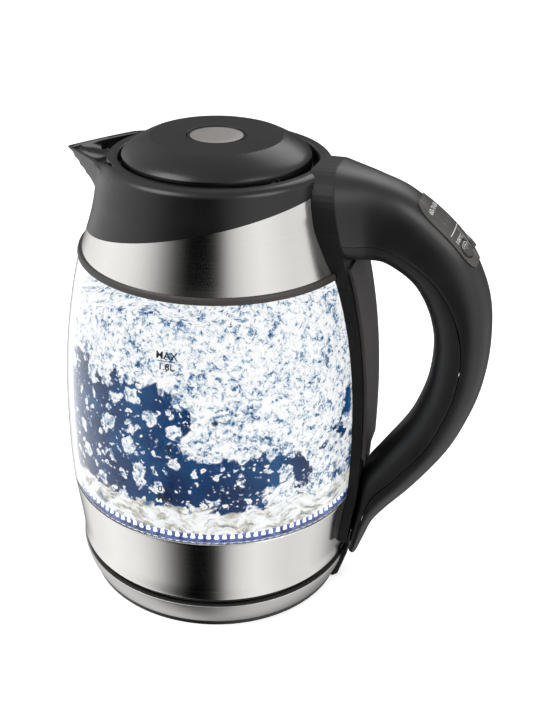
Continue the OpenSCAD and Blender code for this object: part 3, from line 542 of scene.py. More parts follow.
@dataclass(frozen=True)
class FinishBook:
    """Every finish on the kettle, each named for its real material."""

    # Satin ABS with a faint grain: dark grey, with soft sheens and no mirror edge.
    collar: Finish = MouldedPlastic("abs_satin_charcoal", "#0C0B0C", 0.3)
    # The grip's upper shell is a shade greyer, painted light on its upward face, and a little
    # smoother from the mould.
    grip: Finish = MouldedPlastic("abs_satin_grip", "#141416", 0.36)
    # Hidden mouldings are plain black polypropylene, which is duller.
    black: Finish = MouldedPlastic("polypropylene_black", "#101011", 0.45)
    # Polished inside of the beak: black and wet-looking.
    beak: Finish = MouldedPlastic("abs_gloss_black", "#0E0E0F", 0.16, grain_depth_mm=0.002)
    # The strap's cover is greyer, with a coarser grain.
    cover: Finish = MouldedPlastic("abs_grained_grey", "#3A3635", 0.45, grain_mm=1.2)
    # Polycarbonate film over the keys: smooth, warm dark grey.
    film: Finish = MouldedPlastic("polycarbonate_film", "#45423F", 0.3, grain_depth_mm=0.003)
    # Stainless sheet brushed around the jug.
    steel: Finish = BrushedMetal("stainless_brushed", "#DEDCD9", 0.13)
    # Sprayed satin metal paint on the base's trim ring: no strokes, soft grey.
    trim: Finish = BrushedMetal(
        "satin_silver_trim", "#C2C0BE", 0.4, stroke_mm=1.2, anisotropy=0.3
    )
    # Bead-blasted aluminium cap on the lid's button: warm light grey.
    button: Finish = BrushedMetal(
        "anodised_aluminium_blasted", "#B4AFAB", 0.48, stroke_mm=0.9, anisotropy=0.0
    )
    # Plain rolled steel of screws, pins and springs.
    plain_steel: Finish = BrushedMetal(
        "steel_plain", "#B8B7B4", 0.3, stroke_mm=0.8, anisotropy=0.0
    )
    # The hinge's pin and springs are blackened, so they don't show in the lid's gap.
    dark_steel: Finish = BrushedMetal(
        "steel_black_oxide", "#2B2A29", 0.45, stroke_mm=0.8, anisotropy=0.0
    )
    # The heating plate is spun steel, bright under the water.
    plate: Finish = BrushedMetal("stainless_spun", "#D6D2C8", 0.22, stroke_length_mm=30.0)
    brass: Finish = BrushedMetal(
        "brass_contact", "#C8A45A", 0.28, stroke_mm=0.9, anisotropy=0.0
    )
    aluminium: Finish = BrushedMetal(
        "aluminium_cast", "#C3C4C6", 0.4, stroke_mm=1.5, anisotropy=0.0
    )
    # Borosilicate glass, very clear, with slow waves from blowing.
    glass: Finish = ClearGlass("borosilicate_glass", "#FFFFFF", 0.0, 1.22)
    # Silicone is matt and slightly waxy.
    seal: Finish = MouldedPlastic("silicone_dark", "#35312F", 0.5)
    clear_silicone: Finish = MouldedPlastic("silicone_clear", "#C9CFD2", 0.3, 1.41)
    rubber: Finish = MouldedPlastic("rubber_black", "#1A1A1A", 0.7)
    board: Finish = MouldedPlastic("glass_epoxy_green", "#1F6B3A", 0.35)
    wire: Finish = MouldedPlastic("pvc_insulation", "#B98A2E", 0.4)
    # Acrylic light ring: frosted teeth that glow white over a violet-blue band.
    teeth: Finish = Glowing(
        "acrylic_lit_teeth", "#C7D6F2", 0.5, 1.49, glow=0.75, second="#FFFFFF"
    )
    band_light: Finish = Glowing(
        "acrylic_lit_band", "#232C5E", 0.3, 1.49, glow=0.5, second="#5A6BA8"
    )
    lamp: Finish = Glowing("led_blue", "#2F6BFF", 0.3, glow=1.5, second="#7FA8FF")
    # Boiling water that glows: painted light standing in for the blue lamps shining through it.
    water: Finish = BoilingWater("water_boiling_painted_glow", "#014678", 0.3, 1.1)
    # Bubbles glow with painted light; they are no lamps.
    bubble: Finish = Glowing(
        "steam_bubble", "#BCD6E8", 0.08, 1.1, glow=0.7, cloud_mm=1.4, second="#FFFFFF"
    )
    print_dark: Finish = MouldedPlastic("ink_black", "#141414", 0.45, grain_depth_mm=0.001)
    film_lamp: Finish = Glowing("lamp_under_film", "#5E5E5E", 0.4, glow=0.05, second="#6E6E6E")
    # White print with a faint painted glow that brightens it.
    print_white: Finish = Glowing("ink_white_painted_glow", "#B9B9B6", 0.5, glow=0.12, second="#C6C6C3")
    # Bright white card, lit from behind, so that only a soft contact shadow shows.
    floor: Finish = Glowing(
        "paper_sweep", "#FDFDFD", 0.8, glow=0.42, cloud_mm=900.0, second="#FFFFFF"
    )

    def make(self) -> dict[str, bpy.types.Material]:
        """Builds every finish once.

        Returns:
            The material for each of this book's field names.
        """
        return {name: getattr(self, name).build() for name in self.__dataclass_fields__}


# ---- Mesh tools ----


@dataclass
class Shape:
    """A mesh being made. Places are millimetres until it is finished."""

    name: str
    bm: bmesh.types.BMesh = field(default_factory=bmesh.new)

    def spin(self, outline: Sequence[tuple[float, float]], steps: int = 160) -> Shape:
        """Turns a closed outline of (radius, height) points around Z.

        Args:
            outline: The outline's corners in order. Points at radius 0 close on the axis.
            steps: Steps in the full turn.

        Returns:
            This shape.
        """
        corners = [self.bm.verts.new((r, 0.0, z)) for r, z in outline]
        edges = [
            self.bm.edges.new((a, b))
            for a, b in zip(corners, corners[1:] + corners[:1])
            if not (a.co.x == 0.0 and b.co.x == 0.0)
        ]
        bmesh.ops.spin(
            self.bm,
            geom=corners + edges,
            cent=(0, 0, 0),
            axis=(0, 0, 1),
            dvec=(0, 0, 0),
            angle=math.tau,
            steps=steps,
            use_merge=True,
        )
        return self.merge()

    def loft(self, rings: int, around: int, place: Callable[[int, int], Vector]) -> Shape:
        """Bridges a row of circles, each moved point by point to its own section.

        Args:
            rings: Number of sections.
            around: Points in each section.
            place: Gives a point's place from its section's and its own number.

        Returns:
            This shape.
        """
        loops = []
        for i in range(rings):
            made = bmesh.ops.create_circle(
                self.bm, cap_ends=False, segments=around, radius=1.0
            )
            for j, vert in enumerate(made["verts"]):
                vert.co = place(i, j)
            loops.append(list({e for v in made["verts"] for e in v.link_edges}))
        for a, b in zip(loops, loops[1:]):
            bmesh.ops.bridge_loops(self.bm, edges=a + b)
        return self

    def merge(self, distance: float = 0.0005) -> Shape:
        """Joins doubled points and turns every face outwards."""
        bmesh.ops.remove_doubles(self.bm, verts=self.bm.verts, dist=distance)
        bmesh.ops.recalc_face_normals(self.bm, faces=self.bm.faces)
        return self

    def fill(self) -> Shape:
        """Closes every open rim."""
        rims = [e for e in self.bm.edges if e.is_boundary]
        bmesh.ops.holes_fill(self.bm, edges=rims, sides=0)
        bmesh.ops.recalc_face_normals(self.bm, faces=self.bm.faces)
        return self

    def soften(self, width: float, corner: float = 28.0, segments: int = 3) -> Shape:
        """Bevels each edge whose faces meet at more than an angle.

        Args:
            width: Width of the bevel.
            corner: Smallest angle in degrees that counts as a corner.
            segments: Steps in the bevel.

        Returns:
            This shape.
        """
        sharp = [
            e
            for e in self.bm.edges
            if len(e.link_faces) == 2 and e.calc_face_angle(0.0) > math.radians(corner)
        ]
        bmesh.ops.bevel(
            self.bm,
            geom=sharp,
            offset=width,
            offset_type="OFFSET",
            affect="EDGES",
            segments=segments,
            profile=0.5,
            material=-1,
            clamp_overlap=True,
        )
        return self

    def shift(self, move: Callable[[Vector], Vector]) -> Shape:
        """Moves every point by a function of its place."""
        for vert in self.bm.verts:
            vert.co = move(vert.co.copy())
        return self

    def finish(
        self, material: bpy.types.Material, sharp: float = 32.0, turn: Matrix | None = None
    ) -> bpy.types.Object:
        """Makes the object, in metres and smooth-shaded up to an angle.

        Args:
            material: Its finish.
            sharp: Edges steeper than this angle in degrees stay crisp.
            turn: Where the shape goes, if it was made about the origin.

        Returns:
            The new object, at the origin.
        """
        if turn is not None:
            bmesh.ops.transform(self.bm, matrix=turn, verts=self.bm.verts)
        bmesh.ops.scale(self.bm, vec=(MM, MM, MM), verts=self.bm.verts)
        mesh = bpy.data.meshes.new(self.name)
        self.bm.to_mesh(mesh)
        self.bm.free()
        mesh.shade_smooth()
        mesh.set_sharp_from_angle(angle=math.radians(sharp))
        mesh.materials.append(material)
        made = bpy.data.objects.new(self.name, mesh)
        bpy.context.scene.collection.objects.link(made)
        return made


@dataclass
class Assembly:
    """A sub-assembly of the kettle, which rides on one CAD body."""

    inks: dict[str, bpy.types.Material]
    body: str

    def place(
        self, piece: bpy.types.Object, slot: str, *nodes: str, body: str | None = None
    ) -> bpy.types.Object:
        """Lets a piece ride on its body and stand for its CAD nodes.

        Args:
            piece: The finished piece.
            slot: The record's material slot for it; not used.
            nodes: CAD nodes that the piece replaces.
            body: Another body than the assembly's own.

        Returns:
            The piece.
        """
        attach(piece, body or self.body)
        if nodes:
            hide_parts(*nodes)
        log.info("%s rides on %s", piece.name, body or self.body)
        return piece

    def dress(self, finishes: dict[str, str]) -> None:
        """Gives CAD nodes that stay visible their finishes.

        Args:
            finishes: CAD node to the finish's name.
        """
        for node, ink in finishes.items():
            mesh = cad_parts[node].data
            mesh.materials.clear()
            mesh.materials.append(self.inks[ink])


# ---- The jug's outline, as the CAD source has it ----


@dataclass(frozen=True)
class Outline:
    """The jug's outline from the lower band through the glass to the collar."""

    belly_r: float = 81.2
    belly_z: float = 92.0
    belly_curve: float = 2.3
    jug_top_r: float = 70.2
    jug_top_z: float = 189.0
    jug_base_z: float = 60.0
    glass_wall: float = 2.8
    band_base_r: float = 76.3
    band_base_z: float = 20.9
    band_straight_z: float = 26.9
    band_wall: float = 0.8
    neck_r: float = 60.7
    neck_z: float = 221.5
    shoulder_r: float = 57.4
    shoulder_z: float = 234.5
    strap_depth: float = 3.3
    root_low_z: float = 195.0
    root_lean: float = 0.2225

    def glass(self, z: float) -> float:
        """Outer radius of the glass."""
        bend = (abs(z - self.belly_z) / (self.jug_top_z - self.belly_z)) ** self.belly_curve
        return self.belly_r - (self.belly_r - self.jug_top_r) * bend

    def lower(self, z: float) -> float:
        """Outer radius of the lower steel band."""
        rise = max(z - self.band_straight_z, 0) / (self.jug_base_z - self.band_straight_z)
        return self.band_base_r + (self.glass(self.jug_base_z) - self.band_base_r) * rise**1.15

    def upper(self, z: float) -> float:
        """Outer radius of the upper steel band, and of the collar above the neck."""
        if z >= self.neck_z:
            rise = (z - self.neck_z) / (self.shoulder_z - self.neck_z)
            return self.neck_r + (self.shoulder_r - self.neck_r) * rise
        drop = (self.neck_z - z) / (self.neck_z - self.jug_top_z)
        return self.neck_r + (self.jug_top_r - self.neck_r) * drop**1.35

    def body(self, z: float) -> float:
        """Outer radius of the whole jug."""
        if z < self.jug_base_z:
            return self.lower(z)
        return self.glass(z) if z < self.jug_top_z else self.upper(z)

    def strap(self, z: float) -> float:
        """Distance of the strap's outer face from the axis."""
        if z < self.root_low_z:
            return self.body(z) + self.strap_depth
        start = self.body(self.root_low_z) + self.strap_depth + 0.7
        return start - (z - self.root_low_z) * self.root_lean


OUTLINE = Outline()


def spread(low: float, high: float, count: int) -> list[float]:
    """Evenly spaced values from low to high, with both ends."""
    return [low + (high - low) * i / (count - 1) for i in range(count)]


# ---- Studio ----


@dataclass
class Studio:
    """Camera, light and floor. Nothing here is part of the kettle."""

    inks: dict[str, bpy.types.Material]
    camera_turn: float = 18.0
    camera_away: float = 526.2
    camera_height: float = 407.8
    camera_pitch: float = 28.43
    lens: float = 55.3
    shift_x: float = 0.0742

    def camera(self) -> None:
        """Puts the camera to the front left of the handle, looking down."""
        data = bpy.data.cameras.new("view")
        data.lens, data.sensor_width, data.shift_x = self.lens, 36.0, self.shift_x
        data.clip_start, data.clip_end = 0.05, 20.0
        turn = math.radians(self.camera_turn)
        camera = bpy.data.objects.new("view", data)
        camera.location = (
            self.camera_away * MM * math.sin(turn),
            -self.camera_away * MM * math.cos(turn),
            self.camera_height * MM,
        )
        camera.rotation_euler = (math.radians(90 - self.camera_pitch), 0.0, turn)
        bpy.context.scene.collection.objects.link(camera)
        bpy.context.scene.camera = camera

    def surroundings(self) -> None:
        """Studio walls with a dark gap at the front, seen as plain white by the camera."""
        scene = bpy.context.scene
        scene.view_settings.view_transform = "Standard"
        world = bpy.data.worlds.new("studio")
        scene.world = world
        world.use_nodes = True
        tree = world.node_tree
        tree.nodes.clear()
        direction = add_node(tree, "ShaderNodeTexCoord")
        place = add_node(
            tree, "ShaderNodeSeparateXYZ", links={"Vector": (direction, "Generated")}
        )
        compass = add_node(
            tree, "ShaderNodeMath", links={0: (place, "X"), 1: (place, "Y")}, operation="ARCTAN2"
        )
        share = add_node(
            tree,
            "ShaderNodeMapRange",
            {"From Min": -math.pi, "From Max": math.pi},
            {"Value": (compass, "Value")},
        )
        # The compass share is 0.5 along +Y, 0.25 along -X and 0.75 along +X.
        walls = add_node(
            tree,
            "ShaderNodeValToRGB",
            links={"Fac": (share, "Result")},
            stops=self.wall_stops(),
        )
        overhead = add_node(
            tree,
            "ShaderNodeMapRange",
            {"From Min": 0.25, "From Max": 0.8},
            {"Value": (place, "Z")},
        )
        room = add_node(
            tree,
            "ShaderNodeMix",
            {7: (0.62, 0.62, 0.63, 1.0)},
            {0: (overhead, "Result"), 6: (walls, "Color")},
            data_type="RGBA",
        )
        seen = add_node(tree, "ShaderNodeLightPath")
        open_view = add_node(
            tree,
            "ShaderNodeMath",
            links={0: (seen, "Is Camera Ray"), 1: (seen, "Is Transmission Ray")},
            operation="MAXIMUM",
        )
        shown = add_node(
            tree,
            "ShaderNodeMix",
            {7: (1.0, 1.0, 1.0, 1.0)},
            {0: (open_view, "Value"), 6: (room, "Result")},
            data_type="RGBA",
        )
        light = add_node(
            tree, "ShaderNodeBackground", {"Strength": 1.0}, {"Color": (shown, "Result")}
        )
        add_node(tree, "ShaderNodeOutputWorld", links={"Surface": (light, "Background")})

    def wall_stops(self) -> list[tuple[float, Colour]]:
        """Brightness of the studio's walls around the compass, as a ramp's stops."""
        turn = math.radians(self.camera_turn)
        share = (math.atan2(math.sin(turn), -math.cos(turn)) + math.pi) / math.tau
        # Share of a turn from the camera's side, growing towards its left, and brightness.
        around = [
            (-0.44, 0.05), (-0.352, 0.32), (-0.297, 0.80), (-0.254, 0.97), (-0.182, 0.92),
            (-0.105, 1.12), (-0.064, 0.95), (-0.033, 0.66), (-0.006, 0.08), (0.012, 0.0),
            (0.07, 0.0), (0.097, 0.08), (0.125, 0.32), (0.153, 0.66), (0.183, 0.92),
            (0.214, 1.08), (0.286, 1.22), (0.385, 1.0), (0.45, 0.25),
        ]
        stops = sorted(((share + offset) % 1.0, grey(value)) for offset, value in around)
        return [(0.0, stops[-1][1]), *stops, (1.0, stops[-1][1])]

    def lamps(self) -> None:
        """A strong soft lamp over the left, and weaker ones over the handle and behind."""
        for name, place, size, power in (
            ("key_lamp", (-0.75, -0.55, 1.15), 0.9, 9.0),
            ("fill_lamp", (0.95, -0.35, 0.95), 0.8, 5.0),
            ("rear_lamp", (0.25, 0.9, 0.9), 0.7, 2.5),
        ):
            data = bpy.data.lights.new(name, "AREA")
            data.shape, data.size, data.energy = "DISK", size, power
            lamp = bpy.data.objects.new(name, data)
            lamp.location = place
            aim = Vector((0, 0, 0.13)) - Vector(place)
            lamp.rotation_euler = aim.to_track_quat("-Z", "Y").to_euler()
            bpy.context.scene.collection.objects.link(lamp)

    def floor(self) -> None:
        """A plain white table, which the metal doesn't mirror."""
        shape = Shape("table")
        half_side = 3000
        bmesh.ops.create_grid(shape.bm, x_segments=1, y_segments=1, size=half_side)
        table = shape.finish(self.inks["floor"])
        table.visible_glossy = False


# ---- Power base ----


@dataclass
class PowerBase(Assembly):
    """The round base: black rim, satin trim ring, black deck and the cord's outlet."""

    trim_low: tuple[float, float] = (71.9, 2.6)
    trim_top: tuple[float, float] = (76.7, 16.6)
    trim_wall: float = 1.7
    trim_bulge: float = 0.55
    lip_r: float = 73.25

    def trim_ring(self) -> None:
        """The flared silver ring, with a rolled upper edge and a lip inwards."""
        (r0, z0), (r1, z1) = self.trim_low, self.trim_top
        flare = [
            (r0 + (r1 - r0) * (s + self.trim_bulge * s * (1 - s)), z0 + (z1 - 0.8 - z0) * s)
            for s in spread(0, 1, 12)
        ]
        inner = [(r - self.trim_wall, z) for r, z in reversed(flare) if z < z1 - 2.5]
        outline = [*flare, (r1, z1), (self.lip_r, z1), (self.lip_r, z1 - 1.0), *inner]
        ring = Shape("base_trim_piece").spin(outline).soften(0.35)
        self.place(ring.finish(self.inks["trim"]), "trim_metal", "base_trim_ring")

    def build(self) -> None:
        """Makes the base's pieces and dresses the rest."""
        self.trim_ring()
        self.dress(
            {
                "base_bottom_cover": "black",
                "base_deck": "black",
                "base_feet": "rubber",
                "base_screws": "plain_steel",
                "base_connector": "black",
                "connector_contacts": "brass",
                "cord_outlet": "black",
                "base_wiring": "wire",
            }
        )


# ---- Jug ----


@dataclass
class Jug(Assembly):
    """The glass between two brushed bands, with its light ring, seal and level marks."""

    light_teeth: int = 120
    border_z: float = 216.4
    border_tilt: float = 13.6
    upper_band_z: float = 192.4

    def lower_band(self) -> None:
        """The brushed band around the heater, with both edges turned in."""
        o = OUTLINE
        outer = [(o.lower(z), z) for z in spread(o.band_base_z, o.jug_base_z, 24)]
        inner = [(r - o.band_wall, z) for r, z in reversed(outer)]
        band = Shape("lower_band_piece").spin(outer + inner, 200)
        self.place(
            band.soften(0.25, 50).finish(self.inks["steel"]), "brushed_steel", "lower_band"
        )

    def upper_band(self) -> None:
        """The brushed band under the collar, cut along the collar's slanted border."""
        o = OUTLINE
        outer = [(o.upper(z), z) for z in spread(self.upper_band_z, 236, 30)]
        inner = [(r - o.band_wall, z) for r, z in reversed(outer)]
        band = Shape("upper_band_piece").spin(outer + inner, 200)
        slope = math.radians(self.border_tilt)
        bmesh.ops.bisect_plane(
            band.bm,
            geom=band.bm.verts[:] + band.bm.edges[:] + band.bm.faces[:],
            plane_co=(0, 0, self.border_z - 0.1),
            plane_no=(-math.sin(slope), 0, math.cos(slope)),
            clear_outer=True,
        )
        rims = [e for e in band.bm.edges if e.is_boundary]
        bmesh.ops.bridge_loops(band.bm, edges=rims)
        bmesh.ops.recalc_face_normals(band.bm, faces=band.bm.faces)
        self.place(band.finish(self.inks["steel"]), "brushed_steel", "upper_band")

    def glass(self) -> None:
        """The blown jug, open at both ends, with fire-polished rims."""
        o = OUTLINE
        outer = [(o.glass(z), z) for z in spread(60.5, 190.4, 48)]
        inner = [(r - o.glass_wall, z) for r, z in reversed(outer)]
        jug = Shape("glass_jug_piece").spin(outer + inner, 200)
        self.place(
            jug.soften(0.9, 50, 4).finish(self.inks["glass"], 60), "jug_glass", "glass_jug"
        )

    def seals(self) -> None:
        """The dark ring over the glass, with a rounded outer edge."""
        outline = [
            (70.3, 189.0), (70.9, 189.2), (71.0, 190.4), (70.5, 191.8), (70.1, 192.3),
            (65.6, 192.3), (65.6, 190.6), (70.3, 190.6),
        ]
        ring = Shape("glass_seal_piece").spin(outline, 200)
        self.place(
            ring.soften(0.15).finish(self.inks["seal"]), "seal_rubber", "glass_top_seal"
        )

    def light_ring(self) -> None:
        """The acrylic ring under the glass: white points over a dark violet band."""
        outer_r = OUTLINE.glass(60.5) - OUTLINE.glass_wall - 0.5
        step_r, inner_r = outer_r - 1.1, outer_r - 2.4
        foot = Shape("light_band_piece").spin(
            [
                (outer_r, 60.45), (outer_r, 61.7), (step_r, 61.7), (step_r, 66.4),
                (inner_r, 67.4), (inner_r, 60.45),
            ]
        )
        self.place(foot.finish(self.inks["band_light"]), "light_plastic", "light_ring")
        teeth = Shape("light_teeth_piece")
        for i in range(self.light_teeth):
            made = bmesh.ops.create_cone(
                teeth.bm, cap_ends=True, segments=6, radius1=1.35, radius2=0.35, depth=4.4
            )
            turn = Matrix.Rotation(math.tau * i / self.light_teeth, 4, "Z")
            lean = Matrix.Translation((outer_r - 0.75, 0, 64.0)) @ Matrix.Diagonal(
                (0.5, 1.0, 1.0, 1.0)
            )
            bmesh.ops.transform(teeth.bm, matrix=turn @ lean, verts=made["verts"])
        self.place(teeth.finish(self.inks["teeth"]), "light_plastic")

    def marks(self) -> None:
        """Level marks on the -Y side, each with its height and its letters' size."""
        for number, (label, z, size) in enumerate(
            (
                ("MAX", 162.4, 3.5), ("1.8L", 157.0, 3.4), ("1.0L", 114.2, 3.4),
                ("0.5L", 90.4, 3.4), ("MIN", 84.9, 3.7),
            )
        ):
            mark = lettering(f"level_mark_{number}", label, size, self.inks["print_dark"])
            wrap_on_glass(mark, z)
            self.place(mark, "black_plastic")
        for number, z in enumerate((161.3, 89.4)):
            line = Shape(f"level_line_{number}")
            bmesh.ops.create_grid(line.bm, x_segments=16, y_segments=1, size=1)
            bmesh.ops.scale(line.bm, vec=(4.6, 0.17, 1), verts=line.bm.verts)
            piece = line.finish(self.inks["print_dark"])
            wrap_on_glass(piece, z)
            self.place(piece, "black_plastic")

    def build(self) -> None:
        """Makes the jug's pieces and dresses what lies under them."""
        self.lower_band()
        self.upper_band()
        self.glass()
        self.seals()
        self.light_ring()
        self.marks()
        self.dress(
            {
                "kettle_bottom_cover": "black",
                "bottom_screws": "plain_steel",
                "chassis_ring": "black",
                "control_unit": "black",
                "heating_element": "plain_steel",
                "diffuser_plate": "aluminium",
                "heating_plate": "plate",
                "plate_seal": "clear_silicone",
                "led_board": "board",
                "leds": "lamp",
                "temperature_probe": "plain_steel",
                "spout_filter": "plain_steel",
            }
        )


def lettering(
    name: str, words: str, size: float, ink: bpy.types.Material
) -> bpy.types.Object:
    """Makes flat generic lettering as a mesh, centred on X and standing on Y = 0.

    Args:
        name: The new object's name.
        words: The letters.
        size: Height of a capital in millimetres.
        ink: Its finish.

    Returns:
        The mesh object, in millimetres until it is wrapped.
    """
    curve = bpy.data.curves.new(name, "FONT")
    curve.body, curve.size = words, size / 0.7
    curve.align_x, curve.align_y = "CENTER", "BOTTOM_BASELINE"
    curve.resolution_u, curve.offset = 3, size * 0.022
    holder = bpy.data.objects.new(name, curve)
    bpy.context.scene.collection.objects.link(holder)
    bpy.context.view_layer.update()
    mesh = bpy.data.meshes.new_from_object(
        holder.evaluated_get(bpy.context.evaluated_depsgraph_get())
    )
    bpy.data.objects.remove(holder)
    bpy.data.curves.remove(curve)
    mesh.name = name
    mesh.materials.clear()
    mesh.materials.append(ink)
    for vert in mesh.vertices:
        vert.co *= MM
    made = bpy.data.objects.new(name, mesh)
    bpy.context.scene.collection.objects.link(made)
    return made


def wrap_on_glass(piece: bpy.types.Object, z: float) -> None:
    """Bends a flat print around the glass, on the -Y side, at a height in millimetres."""
    for vert in piece.data.vertices:
        height = z + vert.co.y / MM
        radius = OUTLINE.glass(height) + 0.06
        angle = vert.co.x / MM / radius - math.pi / 2
        vert.co = Vector(
            (radius * math.cos(angle), radius * math.sin(angle), height)
        ) * MM


@dataclass
class Boil(Assembly):
    """Water at the boil inside the glass: the body of water and its bubbles."""

    floor_z: float = 60.2
    surface_z: float = 180.0
    bubble_count: int = 1100
    seed: int = 7

    def reach(self, z: float) -> float:
        """Radius of the water's side at a height."""
        inner = OUTLINE.glass(z) - OUTLINE.glass_wall - 0.25
        return min(inner, 71.2 + max(0.0, z - 62) * 2.0) if z < 70 else inner

    def surface(self, x: float, y: float) -> float:
        """Height of the boiling surface over a point of the plan."""
        slow = noise.noise(Vector((x, y, 3.0)) / 34.0)
        fast = noise.noise(Vector((x, y, 9.0)) / 11.0)
        lean = 7.0 * math.tanh((x - 5) / 32)
        return min(189.5, self.surface_z + lean + 7.5 * slow + 2.4 * fast)

    def water(self) -> None:
        """The body of water, with a rolling surface."""
        side = [(self.reach(z), z) for z in spread(self.floor_z, self.surface_z, 50)]
        top = [(self.reach(self.surface_z) * s, self.surface_z) for s in spread(0.96, 0.04, 24)]
        outline = [(0.0, self.floor_z), *side, *top, (0.0, self.surface_z)]
        body = Shape("boiling_water").spin(outline, 180)

        def roll(point: Vector) -> Vector:
            share = min(1.0, max(0.0, (point.z - 165) / (self.surface_z - 165)))
            point.z += share * (self.surface(point.x, point.y) - self.surface_z)
            flat = Vector((point.x, point.y, 0))
            if flat.length > self.reach(point.z):
                flat = flat.normalized() * self.reach(point.z)
            return Vector((flat.x, flat.y, point.z))

        self.place(body.shift(roll).finish(self.inks["water"], 80), "jug_glass")

    def bubbles(self) -> None:
        """Bubbles that rise along the inside of the glass, glowing with painted light."""
        chance = random.Random(self.seed)
        shape = Shape("steam_bubbles")
        for _ in range(self.bubble_count):
            size = 0.35 + 2.0 * chance.random() ** 3.2
            z = chance.uniform(74, 166)
            turn = chance.uniform(0, math.tau)
            radius = self.reach(z) - size - 0.1
            made = bmesh.ops.create_icosphere(shape.bm, subdivisions=2, radius=size)
            place = Matrix.Translation((radius * math.cos(turn), radius * math.sin(turn), z))
            tall = Matrix.Diagonal((1, 1, chance.uniform(0.65, 1.0), 1))
            bmesh.ops.transform(shape.bm, matrix=place @ tall, verts=made["verts"])
        self.place(shape.finish(self.inks["bubble"], 80), "jug_glass")

    def build(self) -> None:
        """Makes the water and its bubbles."""
        self.water()
        self.bubbles()


# ---- Collar ----


def smooth_step(value: float, low: float, high: float) -> float:
    """Rises smoothly from 0 at low to 1 at high."""
    share = min(1.0, max(0.0, (value - low) / (high - low)))
    return share * share * (3 - 2 * share)


def smooth_max(a: float, b: float, width: float) -> float:
    """The larger of two values, rounded over a width where they are close."""
    share = min(1.0, max(0.0, 0.5 + 0.5 * (a - b) / width))
    return b + (a - b) * share + width * share * (1 - share) * 0.5


